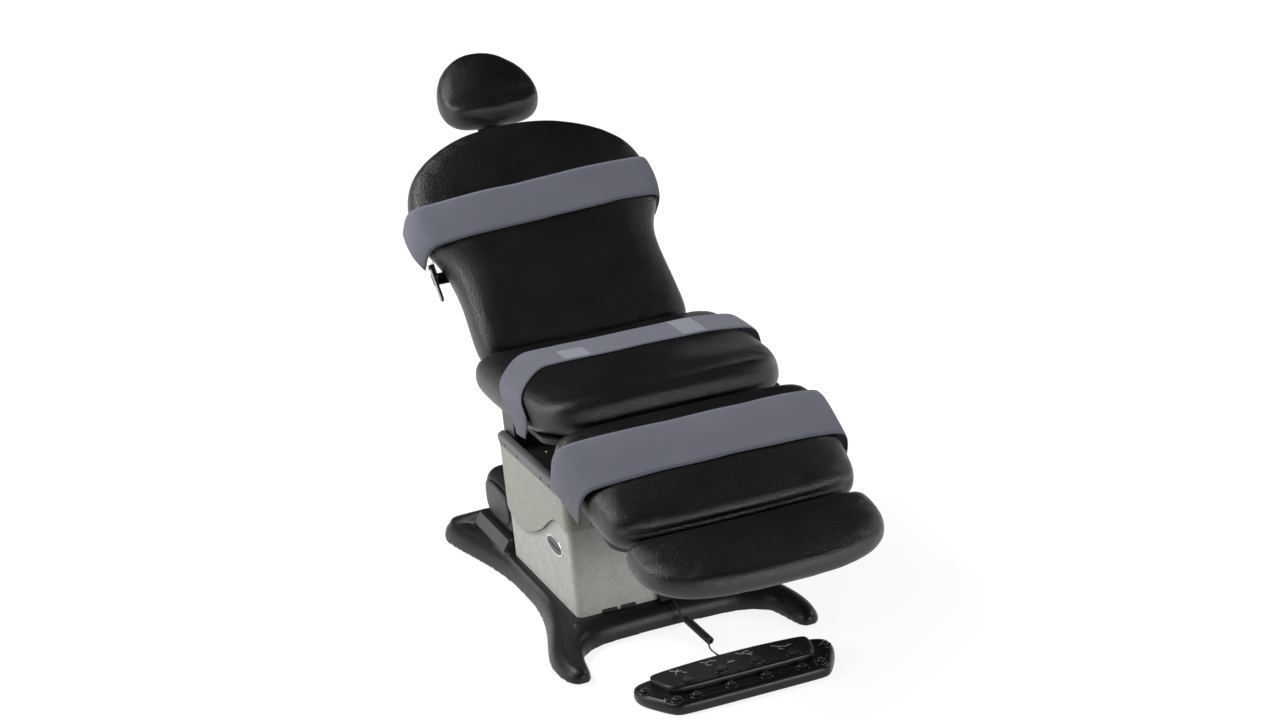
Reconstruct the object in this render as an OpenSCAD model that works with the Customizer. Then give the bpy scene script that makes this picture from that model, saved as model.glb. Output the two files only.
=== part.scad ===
// Powered procedure chair. A telescopic column on a four-footed base carries a tilting seat frame, a reclining
// back with a sliding headrest, and a hinged leg section with a sliding foot rest. A foot control stands in front.
// X runs across the chair, +Y towards the head, +Z up. The origin is on the floor under the middle of the chair.

/* [Column] */
// Distance of the column's centre behind the origin
column_y = 113; // [90:1:140]
// Width of the lower shroud
shroud_w = 406; // [370:2:430]
// Depth of the lower shroud from front to rear
shroud_l = 456; // [420:2:480]
// Wall thickness of the shrouds
shroud_wall = 3; // [2:0.5:4]
// Height of the deck that the lower shroud stands on
deck_h = 60; // [50:1:70]
// Height of the lower shroud
lower_shroud_h = 226; // [200:1:228]
// Height of the tray's underside above the floor
tray_z = 354; // [346:1:380]
// Width of the outer column tube
column_w = 150; // [120:2:180]

/* [Base] */
// Width across the feet
base_w = 626; // [580:2:660]
// Length from the front feet to the rear feet
base_l = 1027; // [960:1:1080]
// Thickness of the steel base plate
plate_t = 8; // [6:0.5:10]
// Length of the motor pod behind the column
pod_l = 230; // [190:2:236]
// Height of the motor pod above its plinth
pod_h = 122; // [100:1:130]

/* [Seat] */
// Width of the seat cushion
seat_w = 616; // [570:2:640]
// Length of the seat cushion
seat_l = 488; // [470:1:500]
// Thickness of the seat cushion at its edge
seat_t = 80; // [60:1:88]
// Height of the seat cushion's underside
seat_z = 561; // [556:1:590]

/* [Back] */
// Width of the back cushion across the shoulders
back_w = 612; // [590:2:640]
// Length of the back cushion above its hinge
back_l = 594; // [570:1:600]
// Thickness of the back cushion at its edge
back_t = 86; // [70:1:88]
// Angle of the back above the horizontal
back_angle = 43; // [38:1:46]

/* [Headrest] */
// Width of the headrest cushion
head_w = 250; // [230:2:280]
// Length of the headrest cushion
head_l = 206; // [190:1:215]
// Thickness of the headrest cushion
head_t = 76; // [60:1:84]

/* [Leg section] */
// Width of the leg cushion
leg_w = 590; // [550:2:610]
// Length of the leg cushion
leg_l = 345; // [330:1:350]
// Thickness of the leg cushion at its edge
leg_t = 82; // [66:1:88]
// Slope of the leg section below the horizontal
leg_angle = 22; // [18:1:26]
// Width of the foot cushion
foot_w = 540; // [500:2:560]
// Length of the foot cushion
foot_l = 206; // [190:1:220]
// Thickness of the foot cushion at its edge
foot_t = 58; // [48:1:64]

/* [Straps] */
// Width of the seat strap
seat_strap_w = 128; // [100:1:136]
// Width of the back strap
back_strap_w = 114; // [90:1:124]
// Width of the leg strap
leg_strap_w = 150; // [110:1:156]
// Thickness of the strap webbing
strap_t = 2.4; // [1.5:0.1:3]

/* [Foot control] */
// Width of the foot control's tray
control_w = 470; // [440:2:490]
// Depth of the foot control's tray
control_l = 162; // [150:1:170]
// Height of the foot control's tray
control_tray_h = 26; // [22:1:30]
// Height of the raised deck on the tray
control_deck_h = 14; // [12:1:18]

/* [Cord] */
// Diameter of the foot control's cord
cord_d = 4; // [3.5:0.1:4.2]
// Outer diameter of the cord's coil
coil_d = 19; // [17:0.5:21]
// Number of curls in the coil
curls = 23; // [16:1:23]

/* [Hidden] */
$fn = 48;
hull_fn = 32;
over = 1;
running = 0.05;
gap = 0.3;

base_front = -462;
floor_gap = 3;
foot_pad_r = 19;
foot_pad_h = 8;
paw_inset = 35;
rear_paw_inset = 58;
paw_front_y = -405;
paw_rear_y = 520;
arm_inset = 99;
arm_front_y = -200;
arm_rear_y = 390;
arm_r = 21;
paw_x = base_w / 2 - paw_inset;
rear_paw_x = base_w / 2 - rear_paw_inset;
arm_x = base_w / 2 - arm_inset;
deck_margin = 17;
deck_w = shroud_w + 2 * deck_margin;
plate_margin = 30;
plate_w = deck_w - 2 * plate_margin;
plate_front = -250;
plate_rear = 450;
deck_front = -282;
deck_rear = 474;
deck_bow = 16;
hollow_top = 46;
hollow_side = 16;
plinth_h = 32;
plinth_top_w = 410;
plinth_foot_w = 452;
plinth_front = 221;
plinth_top_rear = 464;
plinth_foot_rear = 488;
shoulder_r = 26;
shoulder_top_r = 9;
base_bottom = floor_gap;
plate_z = foot_pad_h;

shroud_front = -243;
shroud_rear = shroud_front + shroud_l;
shroud_y = (shroud_front + shroud_rear) / 2;
shroud_r = 16;
shroud_slip = 1.5;
stage_step = shroud_wall + shroud_slip;
second_z = 100;
second_h = 220;
third_z = 138;
skirt_gap = 2.5;
skirt_wall = 3.5;
skirt_grow = skirt_gap + skirt_wall;
skirt_top_gap = 4;
skirt_front_z = 272;

tube_wall = 6;
tube_slip = 0.4;
tube_step = tube_wall + tube_slip;
fixed_tube_h = 268;
middle_tube_h = 218;
carrier_w = 60;
carrier_t = 3;
column_mid_y = -14;

pod_w = 388;
pod_y = 221;
pod_z = deck_h + plinth_h;
pod_r = 40;
panel_t = 4;
inlet_w = 48;
inlet_h = 24;
inlet_t = 8;

oval_x = shroud_w / 2;
oval_y = -126;
oval_z = 200;
oval_w = 108;
oval_h = 46;
oval_t = 2;

socket_w = 42;
socket_x = 13;
socket_l = 19;
socket_h = 22;

tray_w = 396;
tray_front = -262;
tray_rear = 202;
tray_floor = 4;
tray_wall = 4;
tray_h = 24;
rail_t = 14;
rail_h = 31;
rail_front = -267;
rail_rear = 206;
rail_nose_r = 15;
rail_r = 10;
rear_wall_t = 4;
rear_wall_h = 86;
screw_r = 4;
screw_head_h = 3;
screw_front_ys = [-167, -108, 60, 150];

tilt_y = 165;
tilt_z = 478;
pin_r = 8;
pin_head_r = 12;
pin_head_h = 4;
upright_in = 186;
upright_t = 8;
upright_front = 120;
upright_rear = 202;
upright_r = 22;

frame_t = 44;
frame_z = 505;
rail_in = 160;
rail_out = 184;
frame_front = -434;
frame_rear = 104;
frame_wall = 3;
member_l = 36;
member_drop = 4;
mid_member_y = -240;
front_member_y = -400;
hinge_arm_t = 12;
hinge_arm_r = 18;
hinge_block_l = 38;
tilt_lug_in = 176;
tilt_lug_t = 8;
tilt_lug_r = 20;
ear_r = 16;
ear_t = 8;
pan_t = 12;
pan_front = -424;
pan_rear = 34;
pan_side = 26;

back_y = 104;
back_z = 618;
leg_y = -450;
leg_z = 532;
seat_rear = 43;
seat_front = seat_rear - seat_l;
seat_mid = (seat_rear + seat_front) / 2;
seat_crown = 10;
seat_roll = 62;

back_end = 44;
back_crown = 12;
back_roll = 62;
slot_in = 150;
slot_out = 186;
slot_r = 21;
slot_top = 27;
slot_reach = 64;
back_pan_z = -back_t / 2 - pan_t;
back_pan_low = 82;
back_pan_side = 30;
back_pan_top = 24;
lug_in = 174;
lug_t = 8;
lug_r = 16;
beam_low = 28;
beam_l = 44;
beam_t = 34;
spine_w = 120;
spine_t = 28;
spine_top = 470;
box_wall = 3;
bar_w = 60;
bar_t = 8;
bar_low = 430;
bar_drop = 53;
socket_wall = 12;
socket_low = 470;
socket_top = 566;
tab_w = 30;
tab_t = 5;
lever_inset = 14;
lever_x = back_w / 2 - lever_inset;
lever_s = 264;
lever_drop = 24;
lever_l = 96;
lever_w = 14;
lever_t = 6;
lever_pin_r = 5;

head_s = 732;
head_tilt = -8;
head_cushion_y = 6;
head_cushion_z = 31;
head_plate_t = 10;
head_pan_z = head_cushion_z - head_plate_t;
head_crown = 8;
head_roll = 40;
barrel_r = 11;
barrel_w = 36;
head_pin_r = 5;
head_ear_t = 6;
head_plate_w = 170;
head_plate_l = 130;

leg_rear = 4;
leg_crown = 9;
leg_roll = 56;
leg_pan_rear = 44;
leg_pan_side = 24;
knuckle_out = 158;
knuckle_t = 10;
knuckle_r = 15;
leg_beam_rear = 24;
leg_beam_l = 36;
leg_beam_t = 32;
leg_beam_drop = 2;
channel_w = 110;
channel_l = 272;
channel_wall = 4;
foot_bar_y = 150;
foot_bar_l = 330;
foot_y = 366;
foot_z = 15;
foot_rise = 12;
foot_crown = 7;
foot_roll = 42;
foot_pan_t = 10;
foot_pan_side = 30;
bracket_l = 100;
bracket_t = 6;

control_x = 24;
control_y = -637;
control_bottom = 0;
control_bevel = 5;
deck_plate_w = 380;
deck_plate_l = 112;
deck_plate_y = 24;
button_gap = 83;
row_middle = 2.5;
row_half = 1.5;
upper_row_y = -8;
upper_bow = 13;
lower_row_y = -55;
lower_bow = 6;
button_r = 9;
button_h = 5;
button_travel = 3;
stem_r = 4;
stem_l = 9;
stem_well = 13;
end_rear_x = 214;
end_rear_y = 22;
end_front_x = 170;
end_front_y = -52;
gland_l = 27;
gland_r = 6;

motor_r = 20;
rod_r = 9;
eye_r = 12;
eye_w = 20;
clevis_gap = 0.5;
clevis_t = 5;

// The back's push rod: where the motor is held and where the rod meets the crank
back_motor_x = 90;
back_motor_tail = [-190, 503];
back_crank = [127, 531];
back_motor_l = 190;
back_rod_in = 100;
// The leg's push rod
leg_motor_x = -90;
leg_motor_tail = [-150, 484];
leg_crank = [-463.9, 453.2];
leg_motor_l = 150;
leg_rod_in = 80;
// The tilt's push rod
tilt_motor_tail = [60, 402];
tilt_crank = [-222, 490];
tilt_motor_l = 190;
tilt_rod_in = 90;

// Half outlines from front to rear: x as a share of the half width, y as a share of the length
seat_shares = [[0.30, -0.01], [0.80, -0.02], [0.96, 0.05], [0.98, 0.20], [0.99, 0.42], [1.01, 0.66],
    [1.01, 0.90], [0.93, 1.015], [0.50, 1.02], [0.20, 1.0]];
back_shares = [[0.25, -0.015], [0.74, -0.02], [0.86, 0.03], [0.85, 0.18], [0.83, 0.34], [0.86, 0.45],
    [0.98, 0.545], [1.01, 0.65], [0.985, 0.755], [0.885, 0.868], [0.57, 0.968], [0.22, 1.012]];
leg_shares = [[0.35, -0.015], [0.82, -0.01], [0.95, 0.08], [0.975, 0.30], [1.01, 0.60], [1.03, 0.88],
    [0.95, 1.005], [0.45, 1.015]];
foot_shares = [[0.30, -0.05], [0.70, 0.02], [0.94, 0.25], [1.01, 0.52], [1.01, 0.84], [0.98, 1.03], [0.40, 1.015]];
head_shares = [[0.30, -0.03], [0.74, -0.01], [1.0, 0.14], [1.03, 0.38], [0.92, 0.66], [0.66, 0.90], [0.34, 1.02],
    [0.12, 1.05]];
tray_shares = [[0.35, -0.01], [0.70, -0.01], [0.76, 0.0], [0.80, 0.06], [0.96, 0.46], [1.0, 0.58], [1.0, 0.82],
    [0.96, 0.94], [0.80, 1.0], [0.40, 1.04]];
deck_plate_shares = [[0.40, 0], [0.82, 0], [0.90, 0.06], [0.97, 0.45], [1.0, 0.80], [0.98, 0.90], [0.80, 0.93],
    [0.40, 1.02]];
// A cushion's edge from its underside up: how far it draws in as a share of the roll, height as a share of the depth
edge_shares = [[0.30, 0], [0.07, 0.12], [0, 0.38], [0.04, 0.62], [0.19, 0.84], [0.46, 0.96], [1, 1]];
crown_shares = [0.66, 0.33];
strap_stations = [-0.5, -0.3, -0.1, 0.1, 0.3, 0.5];
strap_crown_shares = [0, 0.34, 0.67];
// Side legs of the base from front to rear: place along the base, outer and inner edge as shares of the half width,
// and height as a share of the deck's
leg_bar_shares = [[0, 0.91, 0.84, 0.42], [0.012, 0.97, 0.80, 0.60], [0.05, 1.0, 0.775, 0.68], [0.11, 1.01, 0.75, 0.76],
    [0.18, 0.95, 0.66, 0.90], [0.27, 0.845, 0.50, 0.99], [0.37, 0.765, 0.50, 1], [0.48, 0.73, 0.50, 1],
    [0.59, 0.735, 0.50, 1], [0.69, 0.765, 0.50, 1], [0.78, 0.82, 0.52, 1], [0.87, 0.885, 0.62, 1],
    [0.94, 0.93, 0.68, 1], [0.985, 0.92, 0.72, 0.82], [1, 0.87, 0.78, 0.50]];
bar_profile_shares = [[0, 0], [0.03, 0.32], [0.10, 0.62], [0.22, 0.85], [0.38, 0.97], [0.5, 1]];
// The skirt's lower edge from rear to front: place along the skirt and drop below its front edge as a share of the lobe
lobe_drop = 108;
wave_shares = [[0, 0.435], [0.011, 0.574], [0.03, 0.73], [0.085, 0.894], [0.16, 0.972], [0.222, 1], [0.34, 0.917],
    [0.393, 0.852], [0.444, 0.778], [0.588, 0.519], [0.665, 0.287], [0.72, 0.13], [0.79, -0.02], [0.855, -0.11],
    [0.908, 0], [1, 0]];
// Corners between the deck's front and a leg: across, front edge and height as a share of the deck's
web_shares = [[140, -288, 1], [171, -294, 1], [199, -306, 0.95], [222, -326, 0.88], [238, -356, 0.78], [244, -392, 0.66]];
rear_web_shares = [[140, -478, 1], [171, -484, 1], [199, -494, 1], [216, -512, 1], [226, -535, 1]];
web_inner = 240;
rear_web_inner = 430;
// Route of the cord from the socket to the foot control: a lead, the coil's axis and a second lead
lead_out = [[13, -262, 71], [13, -271, 71], [14, -280, 68.5], [16, -290, 60], [19, -299, 49], [21.5, -307, 38]];
coil_start = [30, -312, 27];
coil_end = [43, -424, 10.5];
lead_in = [[35, -431, 5], [33.5, -440, 3.3], [30.5, -454, 5], [25, -478, 12], [19, -503, 21], [13.5, -524, 29.5],
    [11, -536, 33], [11, -546, 33]];

// Curves and lofts

function spline(a, b, c, d, t) = (a * pow(1 - t, 3) + b * (3 * pow(t, 3) - 6 * t * t + 4)
    + c * (3 * t + 3 * t * t - 3 * pow(t, 3) + 1) + d * pow(t, 3)) / 6;

function closed_curve(p, steps) = let(n = len(p))
    [for (i = [0 : n - 1], k = [0 : steps - 1]) spline(p[i], p[(i + 1) % n], p[(i + 2) % n], p[(i + 3) % n], k / steps)];

function open_curve(p, steps) = let(n = len(p), q = concat([2 * p[0] - p[1]], p, [2 * p[n - 1] - p[n - 2]]))
    concat([for (i = [0 : n - 2], k = [0 : steps - 1]) spline(q[i], q[i + 1], q[i + 2], q[i + 3], k / steps)], [p[n - 1]]);

function both_sides(half) = concat(half, [for (i = [len(half) - 1 : -1 : 0]) [-half[i].x, half[i].y]]);

// An outline from its shares, with its front end at y = front
function outline(shares, w, l, front, steps = 2) =
    closed_curve(both_sides([for (s = shares) [s.x * w / 2, front + s.y * l]]), steps);

function reach(o, i) = max([for (p = o) p[i]]);
function low(o, i) = min([for (p = o) p[i]]);
function shrunk(o, fx, fy, mid) = [for (p = o) [p.x * fx, mid + (p.y - mid) * fy]];
function raised(o, z) = [for (p = o) [p.x, p.y, z]];
function centre(ring) = [for (i = [0 : 2]) (max([for (p = ring) p[i]]) + min([for (p = ring) p[i]])) / 2];

// A closed solid through rings of equal length, each counterclockwise as seen from the last one. The ends are fans
// round a middle point, or on a band, whose rings run along one face and back along the other, rows of quads
module loft(rings, first = undef, last = undef, is_band = false) {
    n = len(rings[0]);
    m = len(rings);
    points = concat([for (r = rings, p = r) p], is_band ? [] : [is_undef(first) ? centre(rings[0]) : first,
        is_undef(last) ? centre(rings[m - 1]) : last]);
    sides = [for (k = [0 : m - 2], i = [0 : n - 1], upper = [false, true]) let(j = (i + 1) % n)
        upper ? [k * n + i, (k + 1) * n + i, (k + 1) * n + j] : [k * n + i, (k + 1) * n + j, k * n + j]];
    e = (m - 1) * n;
    bottom = is_band
        ? [for (i = [0 : n / 2 - 2], f = [[i, i + 1, n - 2 - i], [i, n - 2 - i, n - 1 - i]]) f]
        : [for (i = [0 : n - 1]) [m * n, i, (i + 1) % n]];
    top = is_band
        ? [for (i = [0 : n / 2 - 2], f = [[e + n - 2 - i, e + i + 1, e + i], [e + n - 1 - i, e + n - 2 - i, e + i]]) f]
        : [for (i = [0 : n - 1]) [m * n + 1, e + (i + 1) % n, e + i]];
    polyhedron(points, concat(sides, bottom, top));
}

function half_length(o) = (reach(o, 1) - low(o, 1)) / 2;
function middle(o) = (reach(o, 1) + low(o, 1)) / 2;

function pad_ring(o, draw, z) = raised(shrunk(o, 1 - draw / reach(o, 0), 1 - draw / half_length(o), middle(o)), z);

function pad_rings(o, t, crown, roll) = let(top = pad_ring(o, roll, t), mid = middle(o)) concat(
    [for (e = edge_shares) pad_ring(o, e.x * roll, e.y * t)],
    [for (g = crown_shares) [for (p = top) [p.x * g, mid + (p.y - mid) * g, t + crown * (1 - g * g)]]]);

// A crowned cushion with a flat underside at z = 0
module pad(o, t, crown, roll) {
    loft(pad_rings(o, t, crown, roll), [0, middle(o), 0], [0, middle(o), t + crown]);
}

// Straps: a band that follows a cushion's surface at one place along it

function crossing(o, y) = max([for (i = [0 : len(o) - 1]) let(a = o[i], b = o[(i + 1) % len(o)])
    if ((a.y - y) * (b.y - y) <= 0 && a.y != b.y) a.x + (b.x - a.x) * (y - a.y) / (b.y - a.y)]);

edge_table = [for (e = edge_shares) if (e.y >= 0.38) [e.x, e.y]];

// A point of the cushion's surface at place y: v runs from the widest level up to the start of the crown and inwards
function surface_point(o, t, crown, roll, y, v) = let(
    draw = min(v, 1) * roll,
    g = 1 - max(v - 1, 0),
    fx = g * (1 - draw / reach(o, 0)),
    fy = g * (1 - draw / half_length(o)),
    mid = middle(o),
    yy = mid + (y - mid) / fy,
    inside = yy > low(o, 1) && yy < reach(o, 1))
    [inside ? fx * crossing(o, yy) : 0, v < 1 ? t * lookup(v, edge_table) : t + crown * (1 - g * g)];

function last_v(o, roll, y) = 2 - abs(y - middle(o)) / (half_length(o) - roll);

function strap_side(o, t, crown, roll, y, drop) = let(
    end = last_v(o, roll, y),
    widest = surface_point(o, t, crown, roll, y, 0))
    concat([[widest.x, -drop], [widest.x, 0.2 * t]],
        [for (e = edge_table) if (e.x < 1) surface_point(o, t, crown, roll, y, e.x)],
        [for (s = strap_crown_shares) surface_point(o, t, crown, roll, y, 1 + s * (end - 1))]);

function strap_path(o, t, crown, roll, y, drop) = let(side = strap_side(o, t, crown, roll, y, drop),
    end = last_v(o, roll, y), g = 2 - end)
    concat(side, [[0, t + crown * (1 - g * g)]], [for (i = [len(side) - 1 : -1 : 0]) [-side[i].x, side[i].y]]);

function lifted(path, d) = [for (i = [0 : len(path) - 1]) let(
    a = path[max(i - 1, 0)],
    b = path[min(i + 1, len(path) - 1)],
    run = (b - a) / norm(b - a))
    path[i] + d * [run.y, -run.x]];

module band(o, t, crown, roll, y, w, drop) {
    clear = 0.7 * strap_t;
    ys = [for (s = strap_stations) y + s * w];
    paths = [for (v = ys) strap_path(o, t, crown, roll, v, drop)];
    under = [for (path = paths) lifted(path, clear)];
    outer = [for (path = paths) lifted(path, clear + strap_t)];
    n = len(ys);
    loft([for (i = [0 : len(paths[0]) - 1]) concat(
        [for (k = [0 : n - 1]) [outer[k][i].x, ys[k], outer[k][i].y]],
        [for (k = [n - 1 : -1 : 0]) [under[k][i].x, ys[k], under[k][i].y]])], is_band = true);
}

// Plates, tubes and pivots

module rounded_rect(w, l, r) {
    square([w - 2 * r, l], center = true);
    square([w, l - 2 * r], center = true);
    for (x = [-1, 1], y = [-1, 1]) translate([x * (w / 2 - r), y * (l / 2 - r)]) circle(r);
}

module rounded_tube(w, l, r, wall, h) {
    linear_extrude(h) difference() {
        rounded_rect(w, l, r);
        rounded_rect(w - 2 * wall, l - 2 * wall, max(r - wall, wall));
    }
}

// A square tube with both ends open along Y
module square_tube(w, l, h, wall) {
    difference() {
        translate([-w / 2, 0, 0]) cube([w, l, h]);
        translate([-w / 2 + wall, -over, wall]) cube([w - 2 * wall, l + 2 * over, h - 2 * wall]);
    }
}

// A solid outlined in the YZ plane, from x0 across a width of w
module side_plate(x0, w) {
    translate([x0, 0, 0]) rotate([90, 0, 90]) linear_extrude(w) children();
}

module cross_pin(x0, x1, p, r) {
    translate([x0, p.x, p.y]) rotate([0, 90, 0]) cylinder(r = r, h = x1 - x0);
}

module mirrored() {
    children();
    mirror([1, 0, 0]) children();
}

module at_column() { translate([0, column_y, 0]) children(); }
module at_back() { translate([0, column_y + back_y, back_z]) rotate([back_angle, 0, 0]) children(); }
module at_head() { at_back() translate([0, head_s, back_pan_z - bar_drop]) rotate([head_tilt, 0, 0]) children(); }
module at_leg() { translate([0, column_y + leg_y, leg_z]) rotate([leg_angle, 0, 0]) children(); }
module at_foot() { at_leg() translate([0, -foot_y, foot_z]) rotate([-foot_rise, 0, 0]) children(); }
module at_control() { translate([control_x, column_y + control_y, control_bottom]) children(); }

// Base

function leg_bar_ring(s) = let(
    y = base_front + s[0] * base_l,
    outer = s[1] * base_w / 2,
    inner = s[2] * base_w / 2,
    h = s[3] * deck_h - base_bottom,
    n = len(bar_profile_shares),
    side = [for (p = bar_profile_shares) [p.x * (outer - inner), p.y * h]])
    concat([for (p = side) [inner + p.x, y, base_bottom + p.y]],
        [for (i = [n - 2 : -1 : 0]) [outer - side[i].x, y, base_bottom + side[i].y]]);

module leg_bar() {
    loft([for (s = open_curve(leg_bar_shares, 2)) leg_bar_ring(s)]);
}

deck_profile_shares = [[0, 0], [0.05, 0.36], [0.19, 0.60], [0.48, 0.82], [1, 1]];
deck_slope = 36;

function deck_ring(f) = let(
    x = f * deck_w / 2,
    y0 = deck_front - deck_bow * f * f,
    y1 = deck_rear + deck_bow * f * f,
    h = deck_h - base_bottom,
    n = len(deck_profile_shares))
    concat([for (p = deck_profile_shares) [x, y1 - p.x * deck_slope, base_bottom + p.y * h]],
        [for (i = [n - 1 : -1 : 0]) let(p = deck_profile_shares[i]) [x, y0 + p.x * deck_slope, base_bottom + p.y * h]]);

// A corner that runs from the deck's front edge out to a leg
module web(shares, inner) {
    loft([for (s = shares) let(h = s[2] * (deck_h - base_bottom), n = len(deck_profile_shares)) concat(
        [[s[0], -inner, base_bottom], [s[0], -inner, base_bottom + h]],
        [for (i = [n - 1 : -1 : 0]) let(p = deck_profile_shares[i])
            [s[0], s[1] + p.x * deck_slope, base_bottom + p.y * h]])]);
}

// The rise from a rear foot to the plinth's corner
module shoulder() {
    hull() {
        translate([plinth_top_w / 2 - shoulder_top_r, plinth_top_rear - shoulder_top_r, deck_h])
            cylinder(r1 = 2 * shoulder_top_r, r2 = shoulder_top_r, h = plinth_h - over, $fn = hull_fn);
        translate([rear_paw_x - shoulder_top_r, paw_rear_y, base_bottom])
            cylinder(r = shoulder_r, h = deck_h - 2 * base_bottom, $fn = hull_fn);
    }
}

module plinth() {
    rings = [for (f = [0, 1]) let(
        w = (f == 0 ? plinth_foot_w : plinth_top_w) / 2,
        rear = f == 0 ? plinth_foot_rear : plinth_top_rear,
        z = deck_h - over + f * (plinth_h + over))
        [[-w, plinth_front, z], [w, plinth_front, z], [w, rear, z], [-w, rear, z]]];
    loft(rings);
}

module plate_outline(grow) {
    translate([-plate_w / 2 - grow, plate_front - grow]) square([plate_w + 2 * grow, plate_rear - plate_front + 2 * grow]);
    for (x = [-1, 1], end = [[arm_front_y, [paw_x, paw_front_y]], [arm_rear_y, [rear_paw_x, paw_rear_y]]]) hull() {
        translate([x * arm_x, end[0]]) circle(arm_r + grow, $fn = hull_fn);
        translate([x * end[1].x, end[1].y]) circle(arm_r + grow, $fn = hull_fn);
    }
}

module base_cover() {
    color("#232425") at_column() difference() {
        union() {
            for (side = [0, 1]) mirror([side, 0, 0]) {
                leg_bar();
                web(web_shares, web_inner);
                mirror([0, 1, 0]) web(rear_web_shares, rear_web_inner);
                shoulder();
            }
            loft([for (f = [-1 : 0.25 : 1]) deck_ring(f)]);
            plinth();
        }
        translate([0, 0, -over]) linear_extrude(plate_z + plate_t + over) plate_outline(gap);
        translate([-plate_w / 2 + hollow_side, plate_front + hollow_side, 0])
            cube([plate_w - 2 * hollow_side, plate_rear - plate_front - 2 * hollow_side, hollow_top]);
        translate([-tube_w(2) / 2 - gap, column_mid_y - tube_w(2) / 2 - gap, 0])
            cube([tube_w(2) + 2 * gap, tube_w(2) + 2 * gap, deck_h + over]);
        inlet_body();
    }
}

module base_plate() {
    color("#5a5d60") at_column() translate([0, 0, plate_z]) linear_extrude(plate_t) plate_outline(0);
}

module levelling_feet() {
    color("#1c1c1c") at_column() for (x = [-1, 1], p = [[paw_x, paw_front_y], [rear_paw_x, paw_rear_y]])
        translate([x * p.x, p.y, 0]) cylinder(r = foot_pad_r, h = foot_pad_h);
}

module lower_shroud() {
    color("#c4c3bb") at_column() translate([0, shroud_y, deck_h])
        rounded_tube(shroud_w, shroud_l, shroud_r, shroud_wall, lower_shroud_h);
}

module stage_shroud(n, z, h) {
    w = shroud_w - 2 * n * stage_step;
    l = shroud_l - 2 * n * stage_step;
    translate([0, shroud_y, z]) rounded_tube(w, l, max(shroud_r - n * stage_step, shroud_wall + over), shroud_wall, h);
}

module second_shroud() { color("#b4b3aa") at_column() stage_shroud(1, second_z, second_h); }
module third_shroud() { color("#b4b3aa") at_column() stage_shroud(2, third_z, tray_z - third_z); }

function tube_w(n) = column_w - 2 * n * tube_step;

module column_tube(n, z, h) {
    translate([0, column_mid_y, z]) linear_extrude(h) difference() {
        square([tube_w(n), tube_w(n)], center = true);
        square([tube_w(n) - 2 * tube_wall, tube_w(n) - 2 * tube_wall], center = true);
    }
}

// The lift tube slides over the middle tube, and that over the fixed one
module column_lift() { color("#7d8186") at_column() column_tube(0, third_z, tray_z - third_z); }
module column_fixed() { color("#9a9ea3") at_column() column_tube(2, plate_z + plate_t, fixed_tube_h); }

module column_middle() {
    w = shroud_w - 2 * stage_step - 2 * shroud_wall;
    l = shroud_l - 2 * stage_step - 2 * shroud_wall;
    color("#8b8f94") at_column() {
        column_tube(1, second_z, middle_tube_h);
        difference() {
            translate([0, 0, second_z]) linear_extrude(carrier_t) {
                translate([0, column_mid_y]) square([w, carrier_w], center = true);
                translate([0, shroud_y]) square([carrier_w, l], center = true);
            }
            translate([0, column_mid_y, second_z + carrier_t / 2]) cube([tube_w(1) - tube_wall, tube_w(1) - tube_wall, 2 * carrier_t], center = true);
        }
    }
}

module oval_cap() {
    sizes = [[1, 0], [1, 0.45], [0.94, 0.85], [0.86, 1], [0.8, 0.8]];
    rings = [for (s = sizes) [for (a = [0 : 15 : 345])
        [-oval_x - s.y * oval_t, oval_y - cos(a) * s.x * oval_w / 2, oval_z + sin(a) * s.x * oval_h / 2]]];
    color("#b9bbbd") at_column() loft(rings);
}

module rear_pod() {
    edge = pod_r;
    color("#1d1e1f") at_column() translate([0, pod_y, pod_z]) hull() for (x = [-1, 1]) {
        for (y = [edge, pod_l - edge]) translate([x * (pod_w / 2 - edge), y, 0]) cylinder(r = edge, h = over, $fn = hull_fn);
        for (y = [edge, pod_l - edge]) translate([x * (pod_w / 2 - edge), y, pod_h - edge]) sphere(r = edge, $fn = hull_fn);
    }
}

module access_panel() {
    rise = plinth_h;
    run = (plinth_foot_w - plinth_top_w) / 2;
    slope = atan2(rise, run);
    l = plinth_top_rear - plinth_front - 4 * panel_t;
    h = norm([rise, run]) - 2 * panel_t;
    color("#5b5c5e") at_column() translate([-plinth_foot_w / 2, plinth_front + panel_t, deck_h])
        rotate([0, -slope, 0]) translate([panel_t, 0, 0]) cube([h, l, panel_t]);
}

module mains_inlet() {
    color("#151515") at_column() difference() {
        inlet_body();
        translate([-inlet_w / 4, plinth_foot_rear - inlet_t, inlet_z - inlet_h / 4]) cube([inlet_w / 2, inlet_t, inlet_h / 2]);
    }
}

inlet_z = deck_h + plinth_h / 2;
inlet_l = plinth_foot_rear - plinth_top_rear;

module inlet_body() {
    translate([-inlet_w / 2, plinth_top_rear - inlet_t / 2, inlet_z - inlet_h / 2]) cube([inlet_w, inlet_l, inlet_h]);
}

module cord_socket() {
    color("#141414") at_column() translate([socket_x - socket_w / 2, lead_out[0].y, deck_h])
        cube([socket_w, socket_l, socket_h]);
}

// Lift: skirt, tray, rails and tilt uprights

module skirt_cut() {
    l = shroud_l + 2 * skirt_grow;
    rear = shroud_rear + skirt_grow;
    edge = open_curve([for (s = wave_shares) [rear - s.x * l, skirt_front_z - s.y * lobe_drop]], 2);
    side_plate(-shroud_w, 2 * shroud_w)
        polygon(concat([[rear + over, 0], [rear + over, edge[0].y]], edge, [[rear - l - over, skirt_front_z], [rear - l - over, 0]]));
}

module upper_shroud() {
    low_z = skirt_front_z - lobe_drop - over;
    color("#a9a99f") at_column() difference() {
        translate([0, shroud_y, low_z]) rounded_tube(shroud_w + 2 * skirt_grow, shroud_l + 2 * skirt_grow,
            shroud_r + skirt_grow, skirt_wall, tray_z - low_z);
        skirt_cut();
    }
}

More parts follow.
